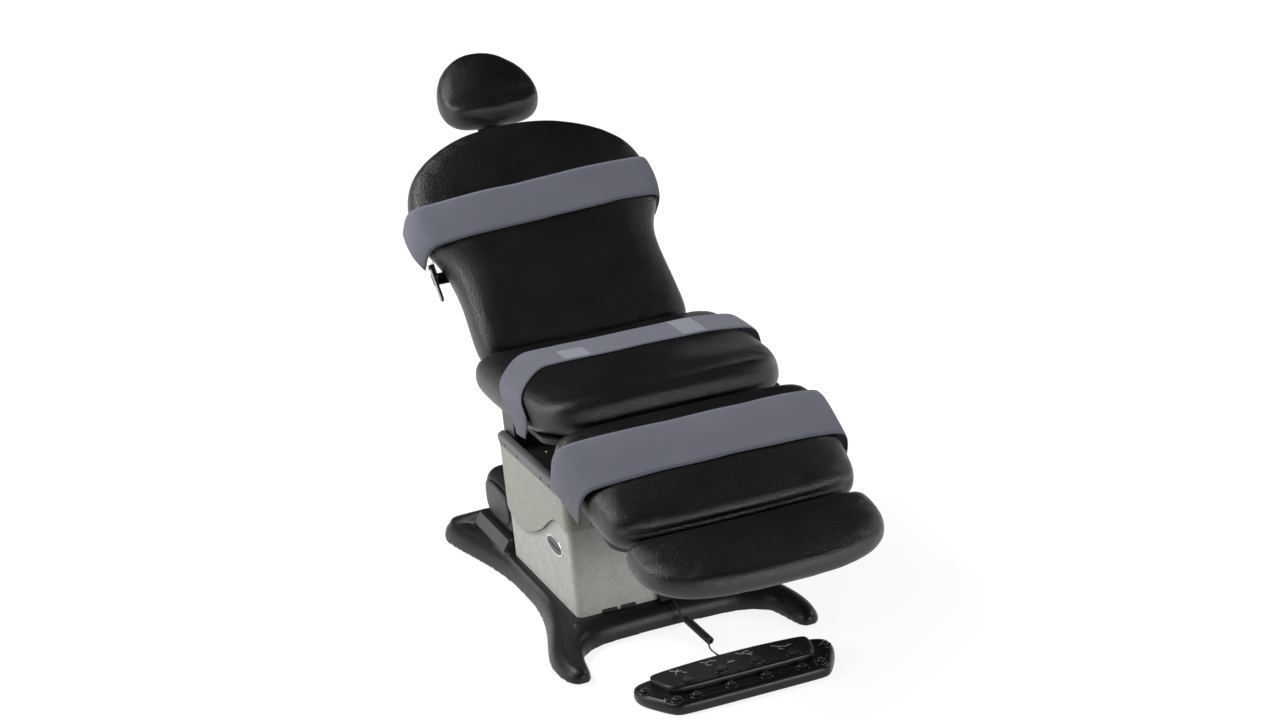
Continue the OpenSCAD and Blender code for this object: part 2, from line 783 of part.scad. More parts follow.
module chassis_tray() {
    color("#1b1c1d") at_column() {
        translate([0, 0, tray_z]) {
            translate([-tray_w / 2, tray_front, 0]) cube([tray_w, tray_rear - tray_front, tray_floor]);
            mirrored() translate([tray_w / 2 - tray_wall, tray_front, 0]) cube([tray_wall, tray_rear - tray_front, tray_h]);
            translate([-upright_in - over, tray_rear - rear_wall_t, 0])
                cube([2 * (upright_in + over), rear_wall_t, rear_wall_h]);
            for (x = [tilt_ear_in, -tilt_ear_in - clevis_t]) side_plate(x, clevis_t) tilt_ear();
        }
        mirrored() side_plate(upright_in, upright_t) upright();
    }
}

tilt_ear_in = eye_w / 2 + clevis_gap;

module tilt_ear() {
    p = tilt_motor_tail - [0, tray_z];
    difference() {
        union() {
            translate(p) circle(eye_r);
            translate([p.x - eye_r, 0]) square([2 * eye_r, p.y]);
        }
        translate(p) circle(head_pin_r + running);
    }
}

module upright() {
    difference() {
        union() {
            translate([upright_front, tray_z + tray_floor]) square([upright_rear - upright_front - over, tilt_z - tray_z - upright_r]);
            translate([tilt_y, tilt_z]) circle(upright_r);
            translate([tilt_y - upright_r, tilt_z - upright_r * 2]) square([2 * upright_r, 2 * upright_r]);
        }
        translate([tilt_y, tilt_z]) circle(pin_r + running);
    }
}

rail_section = concat([[0, 0], [rail_t, 0]], [for (a = [0 : 15 : 90])
    [rail_t - rail_r + rail_r * cos(a), rail_h - rail_r + rail_r * sin(a)]], [[0, rail_h]]);

module chassis_rails() {
    l = rail_rear - rail_front - rail_nose_r;
    nose = [rail_rear - rail_nose_r, tray_z + rail_h / 2];
    color("#55585b") at_column() mirrored() difference() {
        union() {
            translate([tray_w / 2, rail_front + l, tray_z]) rotate([90, 0, 0]) linear_extrude(l) polygon(rail_section);
            hull() {
                cross_pin(tray_w / 2, tray_w / 2 + rail_t - rail_r, nose, rail_h / 2);
                cross_pin(tray_w / 2, tray_w / 2 + rail_t, nose, (rail_h - rail_r) / 2);
            }
        }
        for (y = screw_front_ys) translate([tray_w / 2 - over, y, tray_z + rail_nose_r / 2]) rotate([0, 90, 0])
            cylinder(r = screw_r, h = rail_t + 2 * over);
    }
}

module rail_screws() {
    color("#0e0e0e") at_column() mirrored() for (y = screw_front_ys)
        translate([tray_w / 2, y, tray_z + rail_nose_r / 2]) rotate([0, 90, 0]) cylinder(r = screw_r - running, h = rail_t - screw_head_h);
}

module tilt_pins() {
    color("#a7abaf") at_column() mirrored() {
        cross_pin(tilt_lug_in - over, upright_in + upright_t + over, [tilt_y, tilt_z], pin_r);
        cross_pin(upright_in + upright_t, upright_in + upright_t + pin_head_h, [tilt_y, tilt_z], pin_head_r);
    }
}

// Push rods: each motor lies along a line from its tail to the crank

function aim(tail, tip) = atan2(tip.y - tail.y, tip.x - tail.x);
function span(tail, tip) = norm(tip - tail);

module along(x, tail, tip) {
    at_column() translate([x, tail.x, tail.y]) rotate([aim(tail, tip), 0, 0]) children();
}

module push_motor(l, bore_from) {
    difference() {
        union() {
            rotate([-90, 0, 0]) cylinder(r = motor_r, h = l);
            rotate([-90, 0, 0]) translate([0, 0, l / 2]) cylinder(r = motor_r + clevis_t, h = l / 3);
        }
        translate([0, bore_from, 0]) rotate([-90, 0, 0]) cylinder(r = rod_r + running, h = l);
    }
}

module push_rod(from, to) {
    translate([0, from, 0]) rotate([-90, 0, 0]) cylinder(r = rod_r, h = to - from);
    translate([-eye_w / 2, to, 0]) rotate([0, 90, 0]) cylinder(r = eye_r, h = eye_w);
}

module tilt_motor() {
    color("#222426") along(0, tilt_motor_tail, tilt_crank) {
        difference() {
            union() {
                translate([0, eye_r * 2, 0]) push_motor(tilt_motor_l - eye_r * 2, eye_r);
                translate([-eye_w / 2, 0, 0]) rotate([0, 90, 0]) cylinder(r = eye_r - over, h = eye_w);
                translate([-eye_w / 2, 0, -eye_r / 2]) cube([eye_w, eye_r * 2 + over, eye_r]);
            }
        }
        translate([-tilt_ear_in - clevis_t, 0, 0]) rotate([0, 90, 0]) cylinder(r = head_pin_r, h = 2 * (tilt_ear_in + clevis_t));
    }
}

module tilt_rod() { color("#d3d6d8") along(0, tilt_motor_tail, tilt_crank) push_rod(tilt_rod_in, span(tilt_motor_tail, tilt_crank)); }

module back_motor() {
    color("#222426") {
        along(back_motor_x, back_motor_tail, back_crank) push_motor(back_motor_l, motor_r);
        at_column() translate([back_motor_x - motor_r, mid_member_y + member_l, frame_z + member_drop])
            cube([2 * motor_r, back_motor_tail.x - mid_member_y - member_l, motor_r]);
    }
}

module back_rod() { color("#d3d6d8") along(back_motor_x, back_motor_tail, back_crank) push_rod(back_rod_in, span(back_motor_tail, back_crank)); }

module leg_motor() {
    color("#222426") {
        along(leg_motor_x, leg_motor_tail, leg_crank) push_motor(leg_motor_l, motor_r);
        at_column() translate([leg_motor_x - motor_r, mid_member_y, leg_motor_tail.y + clevis_t])
            cube([2 * motor_r, member_l, frame_z + member_drop - leg_motor_tail.y - clevis_t]);
    }
}

module leg_rod() { color("#d3d6d8") along(leg_motor_x, leg_motor_tail, leg_crank) push_rod(leg_rod_in, span(leg_motor_tail, leg_crank)); }

// Seat

module seat_frame() {
    color("#2b2d2f") at_column() {
        mirrored() {
            translate([(rail_in + rail_out) / 2, frame_front, frame_z])
                square_tube(rail_out - rail_in, frame_rear - frame_front, frame_t, frame_wall);
            side_plate(rail_in, hinge_arm_t) pivot_arm([back_y, back_z], hinge_arm_r);
            side_plate(tilt_lug_in, tilt_lug_t) pivot_arm([tilt_y, tilt_z], tilt_lug_r);
            side_plate(rail_in, ear_t) leg_ear();
        }
        for (y = [mid_member_y, front_member_y]) translate([-rail_in - over, y, frame_z + member_drop])
            cube([2 * (rail_in + over), member_l, frame_t - 2 * member_drop]);
        for (x = [tilt_ear_in, -tilt_ear_in - clevis_t]) side_plate(x, clevis_t) seat_crank();
    }
}

// A plate from the rear end of the seat rail to a pivot
module pivot_arm(p, r) {
    difference() {
        hull() {
            translate(p) circle(r, $fn = hull_fn);
            translate([frame_rear - hinge_block_l, frame_z]) square([hinge_block_l, frame_t]);
        }
        translate(p) circle(pin_r + running);
    }
}

module leg_ear() {
    difference() {
        union() {
            translate([leg_y, leg_z]) circle(ear_r);
            translate([leg_y, frame_z + member_drop]) square([member_l, frame_t - member_drop]);
        }
        translate([leg_y, leg_z]) circle(pin_r + running);
    }
}

module seat_crank() {
    translate(tilt_crank) circle(eye_r);
    translate([tilt_crank.x - eye_r, tilt_crank.y]) square([2 * eye_r, frame_z + 2 * member_drop - tilt_crank.y]);
}

module seat_pan() {
    w = seat_w - 2 * pan_side;
    color("#26282a") at_column() translate([0, (pan_front + pan_rear) / 2, seat_z - pan_t])
        linear_extrude(pan_t) rounded_rect(w, pan_rear - pan_front, pan_side * 2);
}

seat_outline = outline(seat_shares, seat_w, seat_l, seat_front);

module seat_cushion() {
    color("#1e1e20") at_column() translate([0, 0, seat_z]) pad(seat_outline, seat_t, seat_crown, seat_roll);
}

module seat_strap() {
    color("#686a76") at_column() translate([0, 0, seat_z])
        band(seat_outline, seat_t, seat_crown, seat_roll, seat_strap_y, seat_strap_w, pan_t);
}

seat_strap_y = -110;

module hinge_pins() {
    color("#a7abaf") at_column() {
        mirrored() cross_pin(rail_in - over, lug_in + lug_t, [back_y, back_z], pin_r);
        mirrored() cross_pin(knuckle_out - knuckle_t, rail_in + ear_t + over, [leg_y, leg_z], pin_r);
    }
}

// Back section, drawn with its hinge at the origin, Y along the back and Z out of its front face

function to_back(p) = let(d = p - [back_y, back_z])
    [d.x * cos(back_angle) + d.y * sin(back_angle), d.y * cos(back_angle) - d.x * sin(back_angle)];

back_outline = outline(back_shares, back_w, back_l + back_end, -back_end);

module hinge_slots() {
    mirrored() side_plate(slot_in, slot_out - slot_in) {
        translate([-slot_reach, -slot_reach]) square([slot_reach, slot_reach + slot_top]);
        hull() {
            circle(slot_r, $fn = hull_fn);
            translate([-slot_reach, -slot_reach]) square([slot_reach + beam_low + beam_l, slot_reach - back_t / 2 - over]);
        }
    }
}

module back_cushion() {
    color("#1e1e20") at_back() difference() {
        translate([0, 0, -back_t / 2]) pad(back_outline, back_t, back_crown, back_roll);
        hinge_slots();
    }
}

module back_strap() {
    color("#686a76") at_back() translate([0, 0, -back_t / 2])
        band(back_outline, back_t, back_crown, back_roll, back_strap_s, back_strap_w, pan_t);
}

back_strap_s = 350;

module back_pan() {
    o = outline(back_shares, back_w - 2 * back_pan_side, back_l - back_pan_low - back_pan_top, back_pan_low);
    color("#26282a") at_back() translate([0, 0, back_pan_z]) linear_extrude(pan_t) polygon(o);
}

module back_frame() {
    color("#2b2d2f") at_back() {
        translate([-lug_in - lug_t, beam_low, back_pan_z - beam_t]) cube([2 * (lug_in + lug_t), beam_l, beam_t]);
        mirrored() side_plate(lug_in, lug_t) back_lug();
        translate([0, beam_low + beam_l, back_pan_z - spine_t])
            square_tube(spine_w, spine_top - beam_low - beam_l, spine_t, box_wall);
        head_socket();
        for (x = [tilt_ear_in, -tilt_ear_in - clevis_t]) side_plate(back_motor_x + x, clevis_t) back_crank_plate();
        translate([-lever_x + lever_t, lever_s - tab_w, back_pan_z - tab_t]) cube([lever_x - lever_t - spine_w / 2 + box_wall, tab_w, tab_t]);
        side_plate(-lever_x + lever_t / 2 + gap, tab_t) lever_tab();
    }
}

module back_lug() {
    difference() {
        hull() {
            circle(lug_r, $fn = hull_fn);
            translate([beam_low, back_pan_z - beam_t]) square([beam_l, beam_t]);
        }
        circle(pin_r + running);
    }
}

module back_crank_plate() {
    hull() {
        translate(to_back(back_crank)) circle(eye_r, $fn = hull_fn);
        translate([beam_low, back_pan_z - beam_t]) square([beam_l / 2, beam_t / 2]);
    }
}

module lever_tab() {
    difference() {
        union() {
            translate([lever_s - tab_w, back_pan_z - tab_t]) square([tab_w, -lever_drop - back_pan_z + tab_t]);
            translate([lever_s, -lever_drop]) circle(lever_w / 2 + over);
            translate([lever_s - tab_w, -lever_drop - lever_w / 2]) square([tab_w, lever_w]);
        }
        translate([lever_s, -lever_drop]) circle(lever_pin_r + running);
    }
}

module head_socket() {
    w = bar_w + 2 * socket_wall;
    bar_z = back_pan_z - bar_drop;
    low_z = bar_z - bar_t / 2 - socket_wall;
    difference() {
        translate([-w / 2, socket_low, low_z]) cube([w, socket_top - socket_low, back_pan_z - low_z]);
        translate([-bar_w / 2 - gap, socket_low - over, bar_z - bar_t / 2 - gap])
            cube([bar_w + 2 * gap, socket_top - socket_low + 2 * over, bar_t + 2 * gap]);
    }
}

module release_lever() {
    color("#c9ccce") at_back() {
        side_plate(-lever_x - lever_t / 2, lever_t) {
            translate([lever_s, -lever_drop]) circle(lever_w / 2);
            translate([lever_s - lever_l + lever_w / 2, -lever_drop - lever_w / 2]) square([lever_l - lever_w / 2, lever_w]);
            translate([lever_s - lever_l + lever_w / 2, -lever_drop]) circle(lever_w / 2);
        }
        cross_pin(-lever_x - lever_t, -lever_x + lever_t / 2 + gap + tab_t, [lever_s, -lever_drop], lever_pin_r);
    }
}

// Headrest

module headrest_bar() {
    bar_z = back_pan_z - bar_drop;
    color("#b5b8ba") at_back() {
        translate([-bar_w / 2, bar_low, bar_z - bar_t / 2]) cube([bar_w, head_s - 2 * barrel_r - bar_low, bar_t]);
        difference() {
            union() {
                cross_pin(-barrel_w / 2, barrel_w / 2, [head_s, bar_z], barrel_r);
                translate([-barrel_w / 2, head_s - 2 * barrel_r - over, bar_z - bar_t / 2]) cube([barrel_w, 2 * barrel_r, bar_t]);
            }
            cross_pin(-barrel_w / 2 - over, barrel_w / 2 + over, [head_s, bar_z], head_pin_r + running);
        }
    }
}

module headrest_plate() {
    color("#2b2d2f") at_head() {
        translate([0, head_cushion_y, head_pan_z]) linear_extrude(head_plate_t) rounded_rect(head_plate_w, head_plate_l, barrel_w / 2);
        mirrored() side_plate(barrel_w / 2 + gap, head_ear_t) {
            circle(barrel_r);
            translate([-barrel_r, 0]) square([2 * barrel_r, head_pan_z + over]);
        }
        cross_pin(-barrel_w / 2 - head_ear_t, barrel_w / 2 + head_ear_t, [0, 0], head_pin_r);
    }
}

head_outline = outline(head_shares, head_w, head_l, head_cushion_y - head_l / 2);

module headrest_cushion() {
    color("#1e1e20") at_head() translate([0, 0, head_cushion_z]) pad(head_outline, head_t, head_crown, head_roll);
}

// Leg section, drawn with its hinge at the origin, -Y along the leg and Z out of its upper face

function to_leg(p) = let(d = p - [leg_y, leg_z])
    [d.x * cos(leg_angle) + d.y * sin(leg_angle), d.y * cos(leg_angle) - d.x * sin(leg_angle)];

leg_outline = outline(leg_shares, leg_w, leg_l, -leg_rear - leg_l);

module leg_cushion() {
    color("#1e1e20") at_leg() translate([0, 0, pan_t]) pad(leg_outline, leg_t, leg_crown, leg_roll);
}

module leg_strap() {
    color("#686a76") at_leg() translate([0, 0, pan_t])
        band(leg_outline, leg_t, leg_crown, leg_roll, leg_strap_y, leg_strap_w, pan_t);
}

leg_strap_y = -138;

module leg_pan() {
    l = leg_l - leg_pan_rear - leg_pan_side + leg_rear;
    color("#26282a") at_leg() translate([0, -leg_pan_rear - l / 2, 0])
        linear_extrude(pan_t) rounded_rect(leg_w - 2 * leg_pan_side, l, leg_pan_side * 2);
}

module leg_frame() {
    beam_z = -leg_beam_drop - leg_beam_t;
    color("#2b2d2f") at_leg() {
        translate([-knuckle_out, -leg_beam_rear - leg_beam_l, beam_z]) cube([2 * knuckle_out, leg_beam_l, leg_beam_t + leg_beam_drop]);
        mirrored() side_plate(knuckle_out - knuckle_t, knuckle_t) difference() {
            hull() {
                circle(knuckle_r, $fn = hull_fn);
                translate([-leg_beam_rear - leg_beam_l, beam_z]) square([leg_beam_l, leg_beam_t / 2]);
            }
            circle(pin_r + running);
        }
        translate([0, -leg_beam_rear - leg_beam_l - channel_l, beam_z]) square_tube(channel_w, channel_l, leg_beam_t + leg_beam_drop, channel_wall);
        for (x = [tilt_ear_in, -tilt_ear_in - clevis_t]) side_plate(leg_motor_x + x, clevis_t) hull() {
            translate(to_leg(leg_crank)) circle(eye_r, $fn = hull_fn);
            translate([-leg_beam_rear - leg_beam_l, beam_z]) square([leg_beam_l, leg_beam_t / 2]);
        }
    }
}

function from_foot(p) = [p.x * cos(foot_rise) + p.y * sin(foot_rise) - foot_y, p.y * cos(foot_rise) - p.x * sin(foot_rise) + foot_z];

// Foot rest: a bar that slides in the leg frame's channel, a bracket and a pan

module foot_frame() {
    bar_w2 = channel_w - 2 * channel_wall - 2 * gap;
    bar_h = leg_beam_t + leg_beam_drop - 2 * channel_wall - 2 * gap;
    bar_z = -leg_beam_t - leg_beam_drop + channel_wall + gap;
    pan_l = foot_l - 3 * foot_pan_side / 2;
    color("#2b2d2f") {
        at_leg() {
            translate([-bar_w2 / 2, -foot_bar_y - foot_bar_l, bar_z]) cube([bar_w2, foot_bar_l, bar_h]);
            mirrored() side_plate(bar_w2 / 2 - bracket_t - over, bracket_t) polygon([
                [over - foot_bar_y - foot_bar_l, bar_z + over],
                [-foot_bar_y - foot_bar_l + bracket_l, bar_z + over],
                from_foot([-foot_pan_side / 2 - over, over - foot_pan_t]),
                from_foot([-bracket_l, over - foot_pan_t])]);
        }
        at_foot() translate([0, 0, -foot_pan_t]) linear_extrude(foot_pan_t)
            polygon(outline(foot_shares, foot_w - 3 * foot_pan_side, pan_l, -foot_pan_side / 2 - pan_l));
    }
}

foot_outline = outline(foot_shares, foot_w, foot_l, -foot_l);

module foot_cushion() {
    color("#1e1e20") at_foot() pad(foot_outline, foot_t, foot_crown, foot_roll);
}

// Foot control

control_outline = outline(tray_shares, control_w, control_l, -control_l / 2);
deck_outline = outline(deck_plate_shares, deck_plate_w, deck_plate_l, deck_plate_y - deck_plate_l / 2);
deck_z = control_tray_h + control_deck_h;

button_ids = [1 : 4];

function in_row(i, y, bow) = [(i - row_middle) * button_gap, y + bow * (1 - pow((i - row_middle) / row_half, 2))];
function upper_spot(i) = in_row(i, upper_row_y, upper_bow);
function lower_spot(i) = in_row(i, lower_row_y, lower_bow);
function end_spot(i) = let(side = i < 3 ? -1 : 1) i % 2 == 1 ? [side * end_rear_x, end_rear_y] : [side * end_front_x, end_front_y];

// The wells that the keys' stems slide in
module stem_wells(spots, z) {
    for (p = spots) translate([p.x, p.y, z - stem_well]) cylinder(r = stem_r + running, h = stem_well + over);
}

module control_tray() {
    color("#18191a") at_control() difference() {
        loft([
            pad_ring(control_outline, control_bevel, 0),
            pad_ring(control_outline, 0, control_bevel),
            pad_ring(control_outline, 0, control_tray_h - 2 * control_bevel),
            pad_ring(control_outline, control_bevel, control_tray_h - control_bevel / 2),
            pad_ring(control_outline, 2 * control_bevel, control_tray_h)]);
        stem_wells([for (i = button_ids) each [lower_spot(i), end_spot(i)]], control_tray_h);
    }
}

module control_deck() {
    color("#1b1c1d") at_control() difference() {
        loft([
            pad_ring(deck_outline, 0, control_tray_h),
            pad_ring(deck_outline, 0, deck_z - control_bevel),
            pad_ring(deck_outline, control_bevel / 2, deck_z - control_bevel / 3),
            pad_ring(deck_outline, control_bevel, deck_z)]);
        stem_wells([for (i = button_ids) upper_spot(i)], deck_z);
    }
}

button_lift = button_travel + gap;

module stem() {
    translate([0, 0, -button_lift - stem_l]) cylinder(r = stem_r, h = button_lift + stem_l + over);
}

module round_button(p, z) {
    sizes = [[1, 0], [1, 0.5], [0.85, 0.85], [0.5, 1]];
    color("#0f0f10") at_control() translate([p.x, p.y, z]) {
        rotate_extrude() polygon(concat([[0, 0]], [for (s = sizes) [s.x * button_r, s.y * button_h]], [[0, button_h]]));
        stem();
    }
}

// A three-sided key with rounded corners
module arrow_button(p, z) {
    corner = button_r / 3;
    color("#0f0f10") at_control() translate([p.x, p.y, z]) {
        linear_extrude(button_h) hull()
            for (q = [[-1, -0.7], [1, -0.7], [0, 0.9]]) translate(q * button_r) circle(corner, $fn = hull_fn);
        stem();
    }
}

module upper_button(i) { arrow_button(upper_spot(i), deck_z + button_lift); }
module lower_button(i) { round_button(lower_spot(i), control_tray_h + button_lift); }
module end_button(i) { round_button(end_spot(i), control_tray_h + button_lift); }

module cord_gland() {
    color("#101010") at_column() translate([lead_in[len(lead_in) - 1].x, lead_in[len(lead_in) - 1].y, lead_in[len(lead_in) - 1].z])
        rotate([90, 0, 0]) cylinder(r1 = cord_d / 2 + over, r2 = gland_r, h = gland_l);
}

// Cord: one unbroken tube through two leads and a coil

coil_r = (coil_d - cord_d) / 2;
coil_axis = coil_end - coil_start;
coil_run = coil_axis / norm(coil_axis);
coil_side = cross([0, 0, 1], coil_run) / norm(cross([0, 0, 1], coil_run));
coil_up = cross(coil_run, coil_side);
rings_per_curl = 8;

function coil_point(k) = let(n = curls * rings_per_curl, a = 360 * k / rings_per_curl)
    coil_start + coil_axis * k / n - coil_r * (cos(a) * coil_side + sin(a) * coil_up);

cord_path = concat(open_curve(lead_out, 1), [for (k = [0 : curls * rings_per_curl]) coil_point(k)], open_curve(lead_in, 1));

function unit(v) = v / norm(v);
function heading(path, i) = unit(path[min(i + 1, len(path) - 1)] - path[max(i - 1, 0)]);

cord_sides = 6;

function tube_ring(c, dir, r) = let(side = unit(cross(dir, abs(dir.z) > 0.9 ? [1, 0, 0] : [0, 0, 1])), up = cross(side, dir))
    [for (j = [0 : cord_sides - 1]) let(a = 360 * j / cord_sides) c + r * (cos(a) * side - sin(a) * up)];

module curly_cord() {
    color("#131313") at_column() loft([for (i = [0 : len(cord_path) - 1]) tube_ring(cord_path[i], heading(cord_path, i), cord_d / 2)]);
}

coil_pitch = norm(coil_axis) / curls;
echo(least_gap_of_the_coil = coil_pitch - cord_d);

base_cover();
base_plate();
levelling_feet();
lower_shroud();
oval_cap();
rear_pod();
access_panel();
mains_inlet();
cord_socket();
column_fixed();
control_tray();
control_deck();
cord_gland();
curly_cord();
upper_button(1);  // upper_button_1
upper_button(2);  // upper_button_2
upper_button(3);  // upper_button_3
upper_button(4);  // upper_button_4
lower_button(1);  // lower_button_1
lower_button(2);  // lower_button_2
lower_button(3);  // lower_button_3
lower_button(4);  // lower_button_4
end_button(1);  // end_button_1
end_button(2);  // end_button_2
end_button(3);  // end_button_3
end_button(4);  // end_button_4
second_shroud();
column_middle();
third_shroud();
upper_shroud();
column_lift();
chassis_tray();
chassis_rails();
rail_screws();
tilt_pins();
tilt_motor();
tilt_rod();
seat_frame();
seat_pan();
seat_cushion();
seat_strap();
hinge_pins();
back_motor();
back_rod();
leg_motor();
leg_rod();
back_frame();
back_pan();
back_cushion();
back_strap();
release_lever();
headrest_bar();
headrest_plate();
headrest_cushion();
leg_frame();
leg_pan();
leg_cushion();
leg_strap();
foot_frame();
foot_cushion();
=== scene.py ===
# Procedure chair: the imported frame, dressed and lit for a studio view
import math
import bpy
from mathutils import Matrix, Vector, noise
from mathutils.bvhtree import BVHTree


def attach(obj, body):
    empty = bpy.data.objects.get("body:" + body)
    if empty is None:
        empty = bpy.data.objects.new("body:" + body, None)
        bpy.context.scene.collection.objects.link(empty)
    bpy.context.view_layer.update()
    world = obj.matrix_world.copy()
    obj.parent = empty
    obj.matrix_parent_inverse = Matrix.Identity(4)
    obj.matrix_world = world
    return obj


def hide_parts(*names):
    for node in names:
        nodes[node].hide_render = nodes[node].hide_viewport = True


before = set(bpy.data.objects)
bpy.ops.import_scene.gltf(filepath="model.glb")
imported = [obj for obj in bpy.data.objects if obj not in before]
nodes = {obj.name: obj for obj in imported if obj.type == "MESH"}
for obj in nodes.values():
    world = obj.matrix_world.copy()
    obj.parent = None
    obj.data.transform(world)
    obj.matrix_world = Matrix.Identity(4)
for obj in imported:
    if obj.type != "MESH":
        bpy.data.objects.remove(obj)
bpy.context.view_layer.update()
columnY = 0.113  # the column stands this far behind the origin


# Camera, placed in the column's frame

cameraSettings = {"spot": (-1.822, -5.431, 2.459), "turn": 19.445, "down": 18.32, "roll": 6.0, "lens": 73.125}


def addCamera(settings):
    turn, down, roll = (math.radians(settings[k]) for k in ("turn", "down", "roll"))
    back = Vector((-math.sin(turn) * math.cos(down), -math.cos(turn) * math.cos(down), math.sin(down)))
    right = Vector((math.cos(turn), -math.sin(turn), 0))
    up = back.cross(right)
    across = math.cos(roll) * right - math.sin(roll) * up
    above = math.sin(roll) * right + math.cos(roll) * up
    data = bpy.data.cameras.new("photoCamera")
    data.lens = settings["lens"]
    data.sensor_width = 36
    data.clip_end = 60
    camera = bpy.data.objects.new("photoCamera", data)
    bpy.context.scene.collection.objects.link(camera)
    turned = Matrix((across, above, back)).transposed().to_4x4()
    camera.matrix_world = Matrix.Translation(Vector(settings["spot"]) + Vector((0, columnY, 0))) @ turned
    bpy.context.scene.camera = camera


addCamera(cameraSettings)
print("camera placed")

# Curves shared by the pieces


def spline(a, b, c, d, t):
    return (a * (1 - t) ** 3 + b * (3 * t**3 - 6 * t * t + 4) + c * (3 * t + 3 * t * t - 3 * t**3 + 1) + d * t**3) / 6


def closedCurve(points, steps):
    n = len(points)
    return [spline(*(points[(i + j) % n] for j in range(4)), k / steps) for i in range(n) for k in range(steps)]


def openCurve(points, steps):
    p = [2 * points[0] - points[1]] + list(points) + [2 * points[-1] - points[-2]]
    made = [spline(*p[i : i + 4], k / steps) for i in range(len(points) - 1) for k in range(steps)]
    return made + [points[-1]]


def bothSides(half):
    return [Vector(p) for p in half] + [Vector((-x, y)) for x, y in reversed(half)]


def outline(shares, width, length, front, steps=6):
    return closedCurve(bothSides([(x * width / 2, front + y * length) for x, y in shares]), steps)


def smoothStep(low, high, v):
    t = min(max((v - low) / (high - low), 0), 1)
    return t * t * (3 - 2 * t)


def bell(v, middle, width):
    return math.exp(-(((v - middle) / width) ** 2))


# Cord from the base to the foot control: a lead, a coil and a second lead

cordSettings = {
    "leadOut": [(13, -262, 71), (13, -271, 71), (14, -280, 68.5), (16, -290, 60), (19, -299, 49), (21.5, -307, 38)],
    "coilStart": (30, -312, 27),
    "coilEnd": (43, -424, 10.5),
    "leadIn": [(35, -431, 5), (33.5, -440, 3.3), (30.5, -454, 5), (25, -478, 12), (19, -503, 21), (13.5, -524, 29.5),
               (11, -536, 33), (11, -546, 33)],
    "curls": 23,
    "coilRadius": 7.5,
    "thickness": 0.004,
    "length": 1.43,
}


def cordPoints(s, perCurl=16):
    start, end = Vector(s["coilStart"]), Vector(s["coilEnd"])
    axis = end - start
    run = axis.normalized()
    side = Vector((0, 0, 1)).cross(run).normalized()
    up = run.cross(side)
    count = s["curls"] * perCurl
    coil = []
    for k in range(count + 1):
        a = 2 * math.pi * k / perCurl
        coil.append(start + axis * k / count - s["coilRadius"] * (math.cos(a) * side + math.sin(a) * up))
    leadOut = openCurve([Vector(p) for p in s["leadOut"]], 4)
    leadIn = openCurve([Vector(p) for p in s["leadIn"]], 4)
    line = leadOut + coil + leadIn
    joints = [len(leadOut), len(leadOut) + len(coil)]
    for _ in range(8):  # ease the two joints
        line = [(line[i - 1] + line[i] * 2 + line[i + 1]) / 4 if any(abs(i - j) < 5 for j in joints) else line[i]
                for i in range(len(line) - 1)] + [line[-1]]
    return [p / 1000 + Vector((0, columnY, 0)) for p in line]


def addCord(s):
    line = cordPoints(s)
    data = bpy.data.curves.new("curlyCord", "CURVE")
    data.dimensions = "3D"
    data.bevel_depth = 0.5  # times each point's radius
    data.bevel_resolution = 3
    data.use_fill_caps = True
    path = data.splines.new("POLY")
    path.points.add(len(line) - 1)
    for point, spot in zip(path.points, line):
        point.co = (*spot, 1)
        point.radius = s["thickness"]
    cord = bpy.data.objects.new("curlyCord", data)
    bpy.context.scene.collection.objects.link(cord)
    length = sum((b - a).length for a, b in zip(line, line[1:]))
    print("cord is", round(length, 3), "m long")
    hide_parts("curly_cord")
    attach(cord, "base")
    return cord


curlyCord = addCord(cordSettings)
print("cord made")

# Materials: a wire is a node's output that takes part in sums


